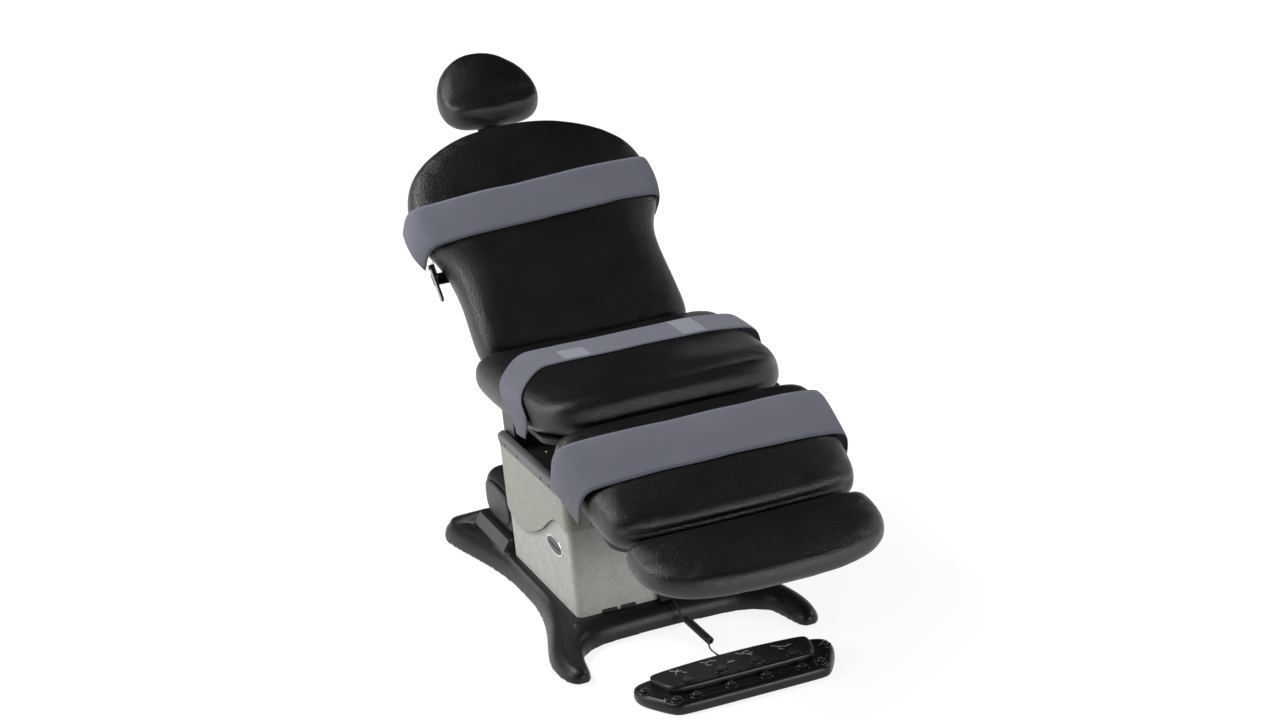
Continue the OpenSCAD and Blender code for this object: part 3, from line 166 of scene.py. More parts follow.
class Wire:
    def __init__(self, tree, socket):
        self.tree = tree
        self.socket = socket

    def make(self, kind, sockets=None, output=0, **settings):
        made = self.tree.nodes.new("ShaderNode" + kind)
        for key, value in settings.items():
            if key == "stops":
                while len(made.color_ramp.elements) < len(value):
                    made.color_ramp.elements.new(0.5)
                for element, (place, shade) in zip(made.color_ramp.elements, value):
                    element.position = place
                    element.color = (*shade, 1) if hasattr(shade, "__len__") else (shade, shade, shade, 1)
            else:
                setattr(made, key, value)
        for key, value in (sockets or {}).items():
            if isinstance(value, Wire):
                self.tree.links.new(value.socket, made.inputs[key])
            else:
                made.inputs[key].default_value = value
        return Wire(self.tree, made.outputs[output])

    def wide(self, value):  # a number beside a colour or a vector
        if isinstance(value, Wire) or hasattr(value, "__len__"):
            return value
        return (value, value, value, 1) if self.socket.type == "RGBA" else (value, value, value)

    def both(self, operation, first, second):
        if self.socket.type == "RGBA":
            sockets = {0: 1.0, 6: self.wide(first), 7: self.wide(second)}
            return self.make("Mix", sockets, output=2, data_type="RGBA", blend_type=operation)
        if self.socket.type == "VECTOR":
            return self.make("VectorMath", {0: self.wide(first), 1: self.wide(second)}, operation=operation)
        return self.make("Math", {0: first, 1: second}, operation=operation)

    def __add__(self, other):
        return self.both("ADD", self, other)

    def __sub__(self, other):
        return self.both("SUBTRACT", self, other)

    def __mul__(self, other):
        return self.both("MULTIPLY", self, other)

    def __truediv__(self, other):
        return self.both("DIVIDE", self, other)

    def __radd__(self, other):
        return self.both("ADD", other, self)

    def __rsub__(self, other):
        return self.both("SUBTRACT", other, self)

    def __rmul__(self, other):
        return self.both("MULTIPLY", other, self)

    def __rtruediv__(self, other):
        return self.both("DIVIDE", other, self)

    def noise(self, scale, detail=3, roughness=0.5):
        return self.make("TexNoise", {"Vector": self, "Scale": scale, "Detail": detail, "Roughness": roughness})

    def cells(self, scale, feature="F1", output="Distance"):
        return self.make("TexVoronoi", {"Vector": self, "Scale": scale}, output=output, feature=feature)

    def bands(self, scale, direction, distortion=0.0):
        return self.make("TexWave", {"Vector": self, "Scale": scale, "Distortion": distortion}, output="Fac",
                         wave_type="BANDS", bands_direction=direction, wave_profile="SIN")

    def ranged(self, low, high, toLow=0.0, toHigh=1.0):
        return self.make("MapRange", {0: self, 1: low, 2: high, 3: toLow, 4: toHigh})

    def between(self, first, second):  # this value picks between two colours
        return self.make("Mix", {0: self, 6: (*first, 1), 7: (*second, 1)}, output=2, data_type="RGBA")

    def axis(self, name):
        return self.make("SeparateXYZ", {0: self}, output=name)


def finish(name, build, bump=0.5, depth=0.001, **fixed):
    material = bpy.data.materials.new(name)
    material.use_nodes = True
    tree = material.node_tree
    shader = tree.nodes["Principled BSDF"]
    for key, value in fixed.items():
        shader.inputs[key.replace("_", " ")].default_value = value
    place = Wire(tree, tree.nodes.new("ShaderNodeTexCoord").outputs["Object"])
    for key, value in build(place).items():
        if key == "Height":
            value = place.make("Bump", {"Height": value, "Strength": bump, "Distance": depth})
            key = "Normal"
        if isinstance(value, Wire):
            tree.links.new(value.socket, shader.inputs[key])
        else:
            shader.inputs[key].default_value = value
    return material


leatherSettings = {"dark": (0.0030, 0.0030, 0.0032), "light": (0.0058, 0.0057, 0.0058), "grain": 430, "fold": 34}


def leatherBuild(p):
    s = leatherSettings
    pores = p.cells(s["grain"])
    fine = p.noise(s["grain"] * 1.7, 2)
    cloud = p.noise(s["fold"] / 3, 3)
    return {
        "Base Color": cloud.ranged(0.35, 0.7).between(s["dark"], s["light"]),
        "Roughness": 0.27 + cloud * 0.05 + fine * 0.08,
        "Height": pores * 0.9 + fine * 0.6 + p.noise(s["fold"], 2) * 0.5,
    }


webbingSettings = {"dark": (0.118, 0.123, 0.160), "light": (0.150, 0.156, 0.196), "weave": 520}


def webbingBuild(p):
    s = webbingSettings
    across = p.bands(s["weave"] / 6.28, "X", 0.4)
    along = p.bands(s["weave"] / 6.28, "DIAGONAL", 0.4)
    cloud = p.noise(9, 3)
    thread = across * 0.5 + along * 0.5
    return {
        "Base Color": (cloud * 0.6 + thread * 0.35).ranged(0.2, 0.7).between(s["dark"], s["light"]),
        "Roughness": 0.82,
        "Height": thread + p.noise(700, 2) * 0.5,
    }


patchSettings = {"dark": (0.235, 0.242, 0.290), "light": (0.320, 0.328, 0.385), "loop": 800}


def patchBuild(p):
    s = patchSettings
    loops = p.cells(s["loop"])
    return {"Base Color": loops.ranged(0.1, 0.7).between(s["dark"], s["light"]), "Roughness": 0.95,
            "Height": loops + p.noise(1100, 2)}


shellSettings = {"dark": (0.43, 0.43, 0.40), "light": (0.62, 0.615, 0.585), "fleck": 260}
skirtSettings = {"dark": (0.33, 0.325, 0.285), "light": (0.455, 0.45, 0.40), "fleck": 260}


def speckledBuild(s):
    def build(p):
        flecks = p.noise(s["fleck"], 3, 0.7)
        coarse = p.noise(s["fleck"] / 6, 2)
        return {
            "Base Color": (flecks * 0.7 + coarse * 0.3).ranged(0.36, 0.62).between(s["dark"], s["light"]),
            "Roughness": 0.50 + flecks * 0.16,
            "Height": flecks + p.cells(s["fleck"] * 0.8) * 0.4,
        }

    return build


def mottledBuild(dark, light, grain, rough, spread=0.1, metal=0.0):
    def build(p):
        fine = p.noise(grain, 3, 0.6)
        cloud = p.noise(grain / 40, 2)
        return {
            "Base Color": (cloud * 0.7 + fine * 0.3).ranged(0.3, 0.7).between(dark, light),
            "Roughness": (rough - spread / 2) + cloud * spread,
            "Metallic": metal,
            "Height": fine,
        }

    return build


def steelBuild(dark, light, rough, direction=(60, 3, 60)):
    def build(p):
        stretched = p * direction
        lines = stretched.noise(16, 3, 0.6)
        return {
            "Base Color": lines.ranged(0.3, 0.7).between(dark, light),
            "Roughness": (rough - 0.06) + lines * 0.12,
            "Metallic": 1.0,
            "Height": lines,
        }

    return build


def leverBuild(p):  # ground steel made bright only on faces turned to -X, toward the left lamp, as a painted highlight; every other face, edges included, is set black
    lines = (p * (200, 8, 8)).noise(8, 2)
    facing = p.make("NewGeometry", output="Normal").axis("X")
    # painted highlight: bright metal where the world normal points to -X, the side the left lamp lights
    paintedLitFace = facing.ranged(-0.80, -0.55, 1.0, 0.0)
    return {"Base Color": paintedLitFace.between((0.010, 0.010, 0.011), (0.34, 0.34, 0.35)), "Roughness": 0.32 + lines * 0.1,
            "Metallic": paintedLitFace, "Height": lines}


def chromeBuild(p):
    lines = (p * (200, 8, 8)).noise(8, 2)
    return {"Base Color": lines.between((0.60, 0.60, 0.61), (0.78, 0.78, 0.79)), "Roughness": 0.10 + lines * 0.08,
            "Metallic": 1.0, "Height": lines}


railSettings = {"dark": (0.060, 0.062, 0.066), "light": (0.090, 0.093, 0.098), "end": (0.006, 0.006, 0.0065),
                "blackFrom": columnY - 0.246}


def railBuild(p):
    s = railSettings
    paint = p.noise(1100, 3, 0.6).ranged(0.3, 0.7).between(s["dark"], s["light"])
    capped = p.axis("Y").ranged(s["blackFrom"] - 0.001, s["blackFrom"], 1.0, 0.0)
    shade = p.make("Mix", {0: capped, 6: paint, 7: (*s["end"], 1)}, output=2, data_type="RGBA")
    return {"Base Color": shade, "Roughness": 0.36 + p.noise(30, 2) * 0.1, "Height": p.noise(1100, 3, 0.6)}


leather = finish("upholsteryLeather", leatherBuild, bump=0.72, depth=0.0011, Specular_IOR_Level=0.52)
webbing = finish("strapWebbing", webbingBuild, bump=0.35, depth=0.0005, Sheen_Weight=0.15)
hookPatch = finish("hookAndLoop", patchBuild, bump=0.5, depth=0.0005)
paleShell = finish("paleShell", speckledBuild(shellSettings), bump=0.35, depth=0.0006)
beigeShell = finish("beigeShell", speckledBuild(skirtSettings), bump=0.35, depth=0.0006)
blackCover = finish("blackCover", mottledBuild((0.0045, 0.0045, 0.0047), (0.008, 0.008, 0.0083), 900, 0.42), bump=0.2,
                    depth=0.0003, Specular_IOR_Level=0.34)
greyPanel = finish("greyPanel", mottledBuild((0.062, 0.064, 0.066), (0.085, 0.087, 0.09), 900, 0.5), bump=0.25,
                   depth=0.0003)
blackSteel = finish("blackPowderCoat", mottledBuild((0.006, 0.006, 0.0065), (0.010, 0.010, 0.011), 1200, 0.42), bump=0.3,
                    depth=0.0003)
railPaint = finish("railPaint", railBuild, bump=0.25, depth=0.0003)
groundSteel = finish("groundSteel", steelBuild((0.30, 0.31, 0.32), (0.46, 0.47, 0.48), 0.34), bump=0.2, depth=0.0002)
chrome = finish("chromeTrim", chromeBuild, bump=0.05, depth=0.0001)
leverSteel = finish("leverSteel", leverBuild, bump=0.05, depth=0.0001)
podPaint = finish("podPanel", mottledBuild((0.012, 0.012, 0.0125), (0.020, 0.020, 0.021), 900, 0.45), bump=0.2,
                  depth=0.0003, Specular_IOR_Level=0.34)
boardFace = finish("boardFace", mottledBuild((0.007, 0.007, 0.0075), (0.012, 0.012, 0.0125), 500, 0.6), bump=0.3,
                   depth=0.0004)
cordRubber = finish("cordRubber", mottledBuild((0.006, 0.006, 0.0063), (0.010, 0.010, 0.0105), 1500, 0.42), bump=0.2,
                    depth=0.0002)
controlPlastic = finish("controlPlastic", mottledBuild((0.0035, 0.0035, 0.0037), (0.006, 0.006, 0.0063), 1300, 0.36),
                        bump=0.25, depth=0.0002, Specular_IOR_Level=0.34)
# key plastic set lighter than the deck's dark plastic: the keys' own plastic with a painted highlight, so keys and
# their lips read as lit
keyPlasticPaintedHighlight = finish("keyPlasticPaintedHighlight", mottledBuild((0.018, 0.018, 0.0185), (0.028, 0.028, 0.0285), 1300, 0.26), bump=0.1,
                    depth=0.0001, Specular_IOR_Level=0.8)
iconPaint = finish("iconPaint", mottledBuild((0.30, 0.30, 0.30), (0.42, 0.42, 0.42), 900, 0.6), bump=0.1, depth=0.0001)
curlyCord.data.materials.append(cordRubber)
print("materials made")

# CAD nodes that keep their shape take a finish

nodeFinishes = {
    "lower_shroud": paleShell, "second_shroud": paleShell, "third_shroud": paleShell, "upper_shroud": beigeShell,
    "base_cover": blackCover, "rear_pod": blackCover, "access_panel": greyPanel,
    "base_plate": groundSteel, "column_fixed": groundSteel, "column_middle": groundSteel, "column_lift": groundSteel,
    "levelling_feet": cordRubber, "mains_inlet": controlPlastic, "cord_socket": controlPlastic,
    "cord_gland": cordRubber, "control_tray": controlPlastic, "control_deck": controlPlastic,
    "chassis_tray": blackSteel, "chassis_rails": railPaint, "rail_screws": controlPlastic, "tilt_pins": groundSteel,
    "tilt_motor": blackSteel, "tilt_rod": groundSteel, "back_motor": blackSteel, "back_rod": groundSteel,
    "leg_motor": blackSteel, "leg_rod": groundSteel, "seat_frame": blackSteel, "back_frame": blackSteel,
    "leg_frame": blackSteel, "foot_frame": blackSteel, "headrest_plate": blackSteel, "headrest_bar": blackSteel,
    "seat_pan": boardFace, "back_pan": boardFace, "leg_pan": boardFace, "hinge_pins": groundSteel,
    "release_lever": leverSteel, "oval_cap": chrome,
}
for name, node in nodes.items():
    # the keys take the key plastic, whose lighter colour is partly a painted highlight
    paint = keyPlasticPaintedHighlight if "_button_" in name else nodeFinishes.get(name, controlPlastic)
    node.data.materials.clear()
    node.data.materials.append(paint)
print("frame nodes dressed")

# Placers: each section's own frame


def turnX(degrees):
    return Matrix.Rotation(math.radians(degrees), 4, "X")


def moved(x, y, z):
    return Matrix.Translation((x, y, z))


atColumn = moved(0, columnY, 0)
atSeat = atColumn @ moved(0, 0, 0.561)
atBack = atColumn @ moved(0, 0.104, 0.618) @ turnX(43)
atHead = atBack @ moved(0, 0.732, -0.108) @ turnX(-8)
atLeg = atColumn @ moved(0, -0.450, 0.532) @ turnX(22)
atFoot = atLeg @ moved(0, -0.366, 0.015) @ turnX(-12)
atControl = atColumn @ moved(0.024, -0.637, 0)


def addPiece(name, mesh, paint, body, replaced=(), smooth=True):
    piece = bpy.data.objects.new(name, mesh)
    bpy.context.scene.collection.objects.link(piece)
    mesh.materials.append(paint)
    if smooth:
        mesh.shade_smooth()
    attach(piece, body)
    if replaced:
        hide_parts(*replaced)
    return piece


def meshOf(name, points, faces, place=None):
    mesh = bpy.data.meshes.new(name)
    mesh.from_pydata([tuple(place @ Vector(p)) if place else tuple(p) for p in points], [], faces)
    mesh.validate()
    mesh.update()
    return mesh


def loftFaces(rings, size, start=0):
    faces = []
    for k in range(rings - 1):
        for i in range(size):
            j = (i + 1) % size
            a, b = start + k * size, start + (k + 1) * size
            faces.append((a + i, a + j, b + j, b + i))
    return faces


def loftMesh(name, rings, place=None, capFirst=True, capLast=True):
    size = len(rings[0])
    points = [p for ring in rings for p in ring]
    faces = loftFaces(len(rings), size)
    if capFirst:
        faces.append(tuple(reversed(range(size))))
    if capLast:
        faces.append(tuple((len(rings) - 1) * size + i for i in range(size)))
    return meshOf(name, points, faces, place)


# Cushions: a crowned pad over its outline, then the real one's rolls and creases

edgeShares = [(0.30, 0), (0.09, 0.10), (0.005, 0.28), (0.015, 0.50), (0.06, 0.71), (0.17, 0.88), (0.42, 0.975), (1, 1)]
edgeCurve = openCurve([Vector(e) for e in edgeShares], 5)

seatPad = {
    "shares": [(0.30, -0.01), (0.62, -0.022), (0.79, 0.010), (0.90, 0.085), (0.965, 0.20), (0.985, 0.34), (0.99, 0.46),
               (1.01, 0.66), (1.01, 0.90), (0.93, 1.015), (0.50, 1.02), (0.20, 1.0)],
    "width": 0.616, "length": 0.488, "front": -0.445, "thick": 0.080, "crown": 0.010, "roll": 0.062,
    "place": atSeat, "body": "seat", "node": "seat_cushion",
}
backPad = {
    "shares": [(0.25, -0.015), (0.74, -0.02), (0.86, 0.03), (0.85, 0.18), (0.83, 0.34), (0.86, 0.45), (0.98, 0.545),
               (1.01, 0.65), (0.985, 0.755), (0.885, 0.868), (0.57, 0.968), (0.22, 1.012)],
    "width": 0.612, "length": 0.638, "front": -0.044, "thick": 0.086, "crown": 0.012, "roll": 0.062,
    "place": atBack @ moved(0, 0, -0.043), "body": "back", "node": "back_cushion",
}
headPad = {
    "shares": [(0.30, -0.03), (0.74, -0.01), (1.0, 0.14), (1.03, 0.38), (0.92, 0.66), (0.66, 0.90), (0.34, 1.02),
               (0.12, 1.05)],
    "width": 0.250, "length": 0.206, "front": -0.097, "thick": 0.076, "crown": 0.008, "roll": 0.040,
    "place": atHead @ moved(0, 0, 0.031), "body": "headrest", "node": "headrest_cushion",
}
legPad = {
    "shares": [(0.35, -0.015), (0.82, -0.01), (0.95, 0.08), (0.975, 0.30), (1.01, 0.60), (1.03, 0.88), (0.95, 1.005),
               (0.45, 1.015)],
    "width": 0.590, "length": 0.345, "front": -0.349, "thick": 0.082, "crown": 0.009, "roll": 0.056,
    "place": atLeg @ moved(0, 0, 0.012), "body": "leg", "node": "leg_cushion",
}
footPad = {
    "shares": [(0.30, -0.05), (0.70, 0.02), (0.94, 0.25), (1.01, 0.52), (1.01, 0.84), (0.98, 1.03), (0.40, 1.015)],
    "width": 0.540, "length": 0.206, "front": -0.206, "thick": 0.058, "crown": 0.007, "roll": 0.042,
    "place": atFoot, "body": "foot", "node": "foot_cushion",
}


def padSizes(pad):
    line = outline(pad["shares"], pad["width"], pad["length"], pad["front"])
    pad["line"] = line
    pad["halfWidth"] = max(p.x for p in line)
    low, high = min(p.y for p in line), max(p.y for p in line)
    pad["low"], pad["high"] = low, high
    pad["halfLength"], pad["middle"] = (high - low) / 2, (high + low) / 2


def padPoint(pad, p, draw, z, gather=1.0):
    fx = (1 - draw / pad["halfWidth"]) * gather
    fy = (1 - draw / pad["halfLength"]) * gather
    return Vector((p.x * fx, pad["middle"] + (p.y - pad["middle"]) * fy, z))


def padRings(pad):
    rings = [[padPoint(pad, p, 0.30 * pad["roll"], 0.0, g) for p in pad["line"]] for g in (0.35, 0.7, 0.9)]
    for e in edgeCurve:
        rings.append([padPoint(pad, p, e.x * pad["roll"], e.y * pad["thick"]) for p in pad["line"]])
    for g in (0.93, 0.86, 0.79, 0.72, 0.64, 0.56, 0.48, 0.4, 0.32, 0.24, 0.16, 0.08):
        z = pad["thick"] + pad["crown"] * (1 - g * g)
        rings.append([padPoint(pad, p, pad["roll"], z, g) for p in pad["line"]])
    return rings


def seatShape(p, pad):
    front, y = pad["front"], p.y
    top = smoothStep(0.35, 0.9, p.z / pad["thick"])
    dish = -0.006 * bell(p.x, 0, 0.17) * bell(y, -0.19, 0.14) * top
    dip = -0.0015 * bell(y, front + 0.075, 0.030) * top * smoothStep(0.30, 0.22, abs(p.x))
    roll = 0.003 * bell(y, front + 0.028, 0.022) * top
    return Vector((p.x, y, p.z + dish + dip + roll))


def backShape(p, pad):
    top = smoothStep(0.4, 0.95, p.z / pad["thick"])
    hollow = -0.009 * bell(p.x, 0, 0.15) * bell(p.y, 0.24, 0.22) * top
    sides = 0.004 * (bell(p.x, 0.20, 0.05) + bell(p.x, -0.20, 0.05)) * bell(p.y, 0.16, 0.16) * top
    return Vector((p.x, p.y, p.z + hollow + sides))


def headShape(p, pad):
    top = smoothStep(0.3, 0.9, p.z / pad["thick"])
    bend = p.y + 0.066 - 0.9 * p.x * p.x
    inside = smoothStep(0.120, 0.085, abs(p.x))
    crease = -0.0045 * bell(bend, 0.010, 0.020) * top * inside
    bolster = 0.0035 * bell(bend, -0.016, 0.012) * top * inside
    return Vector((p.x, p.y, p.z + crease + bolster))


def legShape(p, pad):
    front = pad["front"]
    bulge = smoothStep(front + 0.05, front, p.y)
    level = p.z / pad["thick"]
    pinch = 0.0075 * bell(level, 0.60, 0.10) * bulge * smoothStep(0.285, 0.25, abs(p.x))
    top = smoothStep(0.4, 0.95, level)
    dish = -0.005 * bell(p.x, 0, 0.16) * bell(p.y, front + 0.17, 0.12) * top
    return Vector((p.x, p.y + pinch, p.z + dish))


def footShape(p, pad):
    top = smoothStep(0.4, 0.95, p.z / pad["thick"])
    dish = -0.003 * bell(p.x, 0, 0.15) * bell(p.y, -0.09, 0.07) * top
    return Vector((p.x, p.y, p.z + dish))


def softened(p, size=0.0012, scale=9):
    return p + Vector(noise.noise_vector(p * scale)) * size


clothSettings = {"voxel": 0.0065, "pressure": 4.0, "frames": 20, "most": 0.003, "held": 0.004, "quality": 5,
                 "ease": 7}


def applied(piece):  # the mesh with its modifiers in it
    graph = bpy.context.evaluated_depsgraph_get()
    return bpy.data.meshes.new_from_object(piece.evaluated_get(graph))


def working(mesh):
    holder = bpy.data.objects.new("working", mesh)
    bpy.context.scene.collection.objects.link(holder)
    return holder


def voxelMesh(mesh, voxel):
    holder = working(mesh)
    remesh = holder.modifiers.new("voxels", "REMESH")
    remesh.mode = "VOXEL"
    remesh.voxel_size = voxel
    made = applied(holder)
    bpy.data.objects.remove(holder)
    return made


def extent(points):
    return [(min(p[k] for p in points), max(p[k] for p in points)) for k in range(3)]


def plumped(mesh, s):  # blown up a little as cloth, then fitted back to its own size
    mesh = voxelMesh(mesh, s["voxel"])
    start = [v.co.copy() for v in mesh.vertices]
    holder = working(mesh)
    held = holder.vertex_groups.new(name="held")
    held.add([v.index for v in mesh.vertices if v.co.z < s["held"]], 1.0, "REPLACE")
    cloth = holder.modifiers.new("cloth", "CLOTH")
    cloth.settings.quality = s["quality"]
    cloth.settings.use_pressure = True
    cloth.settings.uniform_pressure_force = s["pressure"]
    cloth.settings.effector_weights.gravity = 0
    cloth.settings.vertex_group_mass = "held"
    for number in range(1, s["frames"] + 1):
        bpy.context.scene.frame_set(number)
    blown = applied(holder)
    bpy.data.objects.remove(holder)
    bpy.context.scene.frame_set(1)
    spots = []
    for a, v in zip(start, blown.vertices):
        shift = v.co - a
        spots.append(a + shift * min(1.0, s["most"] / max(shift.length, 1e-9)))
    for v, p in zip(blown.vertices, spots):
        v.co = p
    holder = working(blown)
    ease = holder.modifiers.new("ease", "SMOOTH")
    ease.iterations = s["ease"]
    blown = applied(holder)
    bpy.data.objects.remove(holder)
    spots = [v.co.copy() for v in blown.vertices]
    was, now = extent(start), extent(spots)
    for v, p in zip(blown.vertices, spots):
        v.co = [was[k][0] + (p[k] - now[k][0]) * (was[k][1] - was[k][0]) / (now[k][1] - now[k][0]) for k in range(3)]
    return blown


def subdivided(mesh):
    holder = working(mesh)
    holder.modifiers.new("finer", "SUBSURF").levels = 1
    made = applied(holder)
    bpy.data.objects.remove(holder)
    return made


def addPad(name, pad, shape):
    mesh = loftMesh(name, padRings(pad))
    mesh = plumped(mesh, clothSettings)
    for v in mesh.vertices:
        v.co = softened(shape(v.co, pad))
    mesh = subdivided(mesh)
    pad["surface"] = BVHTree.FromPolygons([v.co.copy() for v in mesh.vertices], [tuple(f.vertices) for f in mesh.polygons])
    mesh.transform(pad["place"])
    mesh.name = name
    mesh.materials.clear()
    piece = addPiece(name, mesh, leather, pad["body"], (pad["node"],))
    print(name, "has", len(mesh.vertices), "points")
    return piece


def clearOf(pad, p):  # never under the cushion's skin
    spot, normal = pad["surface"].find_nearest(p)[:2]
    depth = (p - spot).dot(normal)
    return p - normal * depth if depth < 0 else p


for pad in (seatPad, backPad, headPad, legPad, footPad):
    padSizes(pad)
addPad("seatCushion", seatPad, seatShape)
addPad("backCushion", backPad, backShape)
addPad("headrestCushion", headPad, headShape)
addPad("legCushion", legPad, legShape)
addPad("footCushion", footPad, footShape)
print("cushions made")

# Straps: webbing that follows a cushion's surface, stands off at its corners and drops down both sides

seatStrap = {
    "pad": seatPad, "shape": seatShape, "name": "seatStrap", "node": "seat_strap", "y": -0.110, "width": 0.128,
    "skew": 0.0, "drop": 0.012, "off": (0.004, 0.022), "tail": (-0.200, 0.62),
    "patches": [(-0.141, -0.077, -0.165, -0.105), (0.150, 0.207, -0.168, -0.058)],
}
backStrap = {
    "pad": backPad, "shape": backShape, "name": "backStrap", "node": "back_strap", "y": 0.350, "width": 0.114,
    "skew": 0.045, "drop": 0.012, "off": (0.011, 0.006), "tail": (0.0, 0.0), "patches": [],
}
legStrap = {
    "pad": legPad, "shape": legShape, "name": "legStrap", "node": "leg_strap", "y": -0.138, "width": 0.150,
    "skew": 0.0, "drop": 0.012, "off": (0.010, 0.016), "tail": (0.0, 0.0), "patches": [],
}
strapSettings = {"thick": 0.0024, "clear": 0.0012, "along": 80, "across": 14, "wave": 0.0012, "edgeWave": 0.0022,
                 "offFrom": 0.46, "offTo": 0.20, "tailFrom": 0.17, "bendFrom": 0.52}


def crossing(pad, y):
    line = pad["line"]
    best = 0.0
    for a, b in zip(line, line[1:] + line[:1]):
        if (a.y - y) * (b.y - y) <= 0 and a.y != b.y:
            best = max(best, a.x + (b.x - a.x) * (y - a.y) / (b.y - a.y))
    return best


def fillCrossings(pad, count=240):
    pad["rows"] = [crossing(pad, pad["low"] + (pad["high"] - pad["low"]) * i / count) for i in range(count + 1)]


def quickCrossing(pad, y):
    rows = pad["rows"]
    place = (y - pad["low"]) / (pad["high"] - pad["low"]) * (len(rows) - 1)
    if place <= 0 or place >= len(rows) - 1:
        return 0.0
    i = int(place)
    return rows[i] + (rows[i + 1] - rows[i]) * (place - i)


sideCurve = [e for e in edgeCurve if e.y >= 0.36]


def halfSection(pad, y, drop):
    points = []
    for e in sideCurve:
        draw = e.x * pad["roll"]
        fx, fy = 1 - draw / pad["halfWidth"], 1 - draw / pad["halfLength"]
        points.append(Vector((fx * quickCrossing(pad, pad["middle"] + (y - pad["middle"]) / fy), e.y * pad["thick"])))
    fx, fy = 1 - pad["roll"] / pad["halfWidth"], 1 - pad["roll"] / pad["halfLength"]
    reach = abs(y - pad["middle"]) / (pad["halfLength"] * fy)
    for k in range(1, 9):
        g = 1 - (1 - reach) * k / 8
        yy = pad["middle"] + (y - pad["middle"]) / (fy * g)
        points.append(Vector((fx * g * quickCrossing(pad, yy), pad["thick"] + pad["crown"] * (1 - g * g))))
    points[-1].x = 0.0
    return [Vector((points[0].x, -drop)), Vector((points[0].x, 0.2 * pad["thick"]))] + points


def atShare(points, share):
    lengths = [(b - a).length for a, b in zip(points, points[1:])]
    left = share * sum(lengths)
    for a, b, size in zip(points, points[1:], lengths):
        if left <= size and size > 0:
            return a + (b - a) * (left / size)
        left -= size
    return points[-1].copy()


def strapRow(strap, s, i):  # one row of points across the webbing
    share = 1 - abs(i) / s["along"]
    side = -1 if i < 0 else 1
    x0 = side * atShare(strap["middleLine"], share).x
    turn = smoothStep(s["bendFrom"], 0.03, share) if side < 0 else 0.0
    narrow = smoothStep(s["tailFrom"], 0.0, share) if side < 0 else 0.0
    width = strap["width"] * (1 - strap["tail"][1] * narrow)
    row = []
    for k in range(s["across"] + 1):
        across = k / s["across"] - 0.5
        ripple = s["edgeWave"] * noise.noise(Vector((x0 * 11, across * 2, strap["y"] * 9))) * abs(across) * 2
        y = strap["y"] + strap["skew"] * x0 + strap["tail"][0] * turn + width * across + ripple
        flat = atShare(halfSection(strap["pad"], y, strap["drop"]), share)
        row.append(clearOf(strap["pad"], strap["shape"](Vector((side * flat.x, y, flat.y)), strap["pad"])))
    return row


def surfaceNormal(grid, i, k):
    rows, cols = len(grid), len(grid[0])
    along = grid[min(i + 1, rows - 1)][k] - grid[max(i - 1, 0)][k]
    across = grid[i][min(k + 1, cols - 1)] - grid[i][max(k - 1, 0)]
    return along.cross(across).normalized()


def strapFaces(rows, cols):
    count = rows * cols
    faces = []
    for i in range(rows - 1):
        for k in range(cols - 1):
            a, b, c, d = i * cols + k, i * cols + k + 1, (i + 1) * cols + k + 1, (i + 1) * cols + k
            faces += [(a + count, d + count, c + count, b + count), (a, b, c, d)]
    for i in range(rows - 1):
        a, d = i * cols, (i + 1) * cols
        faces.append((a, d, d + count, a + count))
        a, d = a + cols - 1, d + cols - 1
        faces.append((a, a + count, d + count, d))
    for k in range(cols - 1):
        faces.append((k, k + count, k + 1 + count, k + 1))
        a = (rows - 1) * cols + k
        faces.append((a, a + 1, a + 1 + count, a + count))
    return faces


def addStrap(strap, s):
    strap["middleLine"] = halfSection(strap["pad"], strap["y"], strap["drop"])
    grid = [strapRow(strap, s, i) for i in range(-s["along"], s["along"] + 1)]
    rows, cols = len(grid), len(grid[0])
    inner, outer = [], []
    for i, row in enumerate(grid):
        share = 1 - abs(i - s["along"]) / s["along"]
        off = strap["off"][0 if i < s["along"] else 1] * smoothStep(s["offFrom"], s["offTo"], share)
        for k, p in enumerate(row):
            normal = surfaceNormal(grid, i, k)
            wave = s["wave"] * (0.5 + 0.5 * noise.noise(p * 14))
            edge = abs(k / (cols - 1) - 0.5) * 2
            thin = s["thick"] * (1 - 0.45 * smoothStep(0.88, 1.0, edge))
            low = p + normal * (s["clear"] + wave) + Vector((off if i > s["along"] else -off, 0, -0.25 * off))
            inner.append(low)
            outer.append(low + normal * thin)
    mesh = meshOf(strap["name"], inner + outer, strapFaces(rows, cols), strap["pad"]["place"])
    piece = addPiece(strap["name"], mesh, webbing, strap["pad"]["body"], (strap["node"],))
    mesh.materials.append(hookPatch)
    back = strap["pad"]["place"].inverted()
    for face in mesh.polygons:
        spot = back @ face.center
        if any(a < spot.x < b and c < spot.y < d for a, b, c, d in strap["patches"]):
            face.material_index = 1
    length = sum((grid[i + 1][cols // 2] - grid[i][cols // 2]).length for i in range(rows - 1))
    print(strap["name"], "is", round(length, 3), "m long")
    return piece


for strap in (seatStrap, backStrap, legStrap):
    fillCrossings(strap["pad"])
    addStrap(strap, strapSettings)
print("straps made")

# Base: the cover and the pod are the frame's own forms, with soft moulded edges

mouldSettings = {"voxel": 0.0045, "coverRounds": 16, "podRounds": 10, "armFrom": 0.205, "armTo": 0.240, "deckShare": 0.30}


def eased(mesh, rounds, shareAt):
    holder = working(mesh)
    group = holder.vertex_groups.new(name="soft")
    for v in mesh.vertices:
        group.add([v.index], shareAt(v.co), "REPLACE")
    smooth = holder.modifiers.new("smooth", "SMOOTH")
    smooth.iterations = rounds
    smooth.vertex_group = "soft"
    made = applied(holder)
    bpy.data.objects.remove(holder)
    made.materials.clear()
    return made


def armShare(p):
    s = mouldSettings
    return max(smoothStep(s["armFrom"], s["armTo"], abs(p.x)), s["deckShare"])


def allSoft(p):
    return 1.0


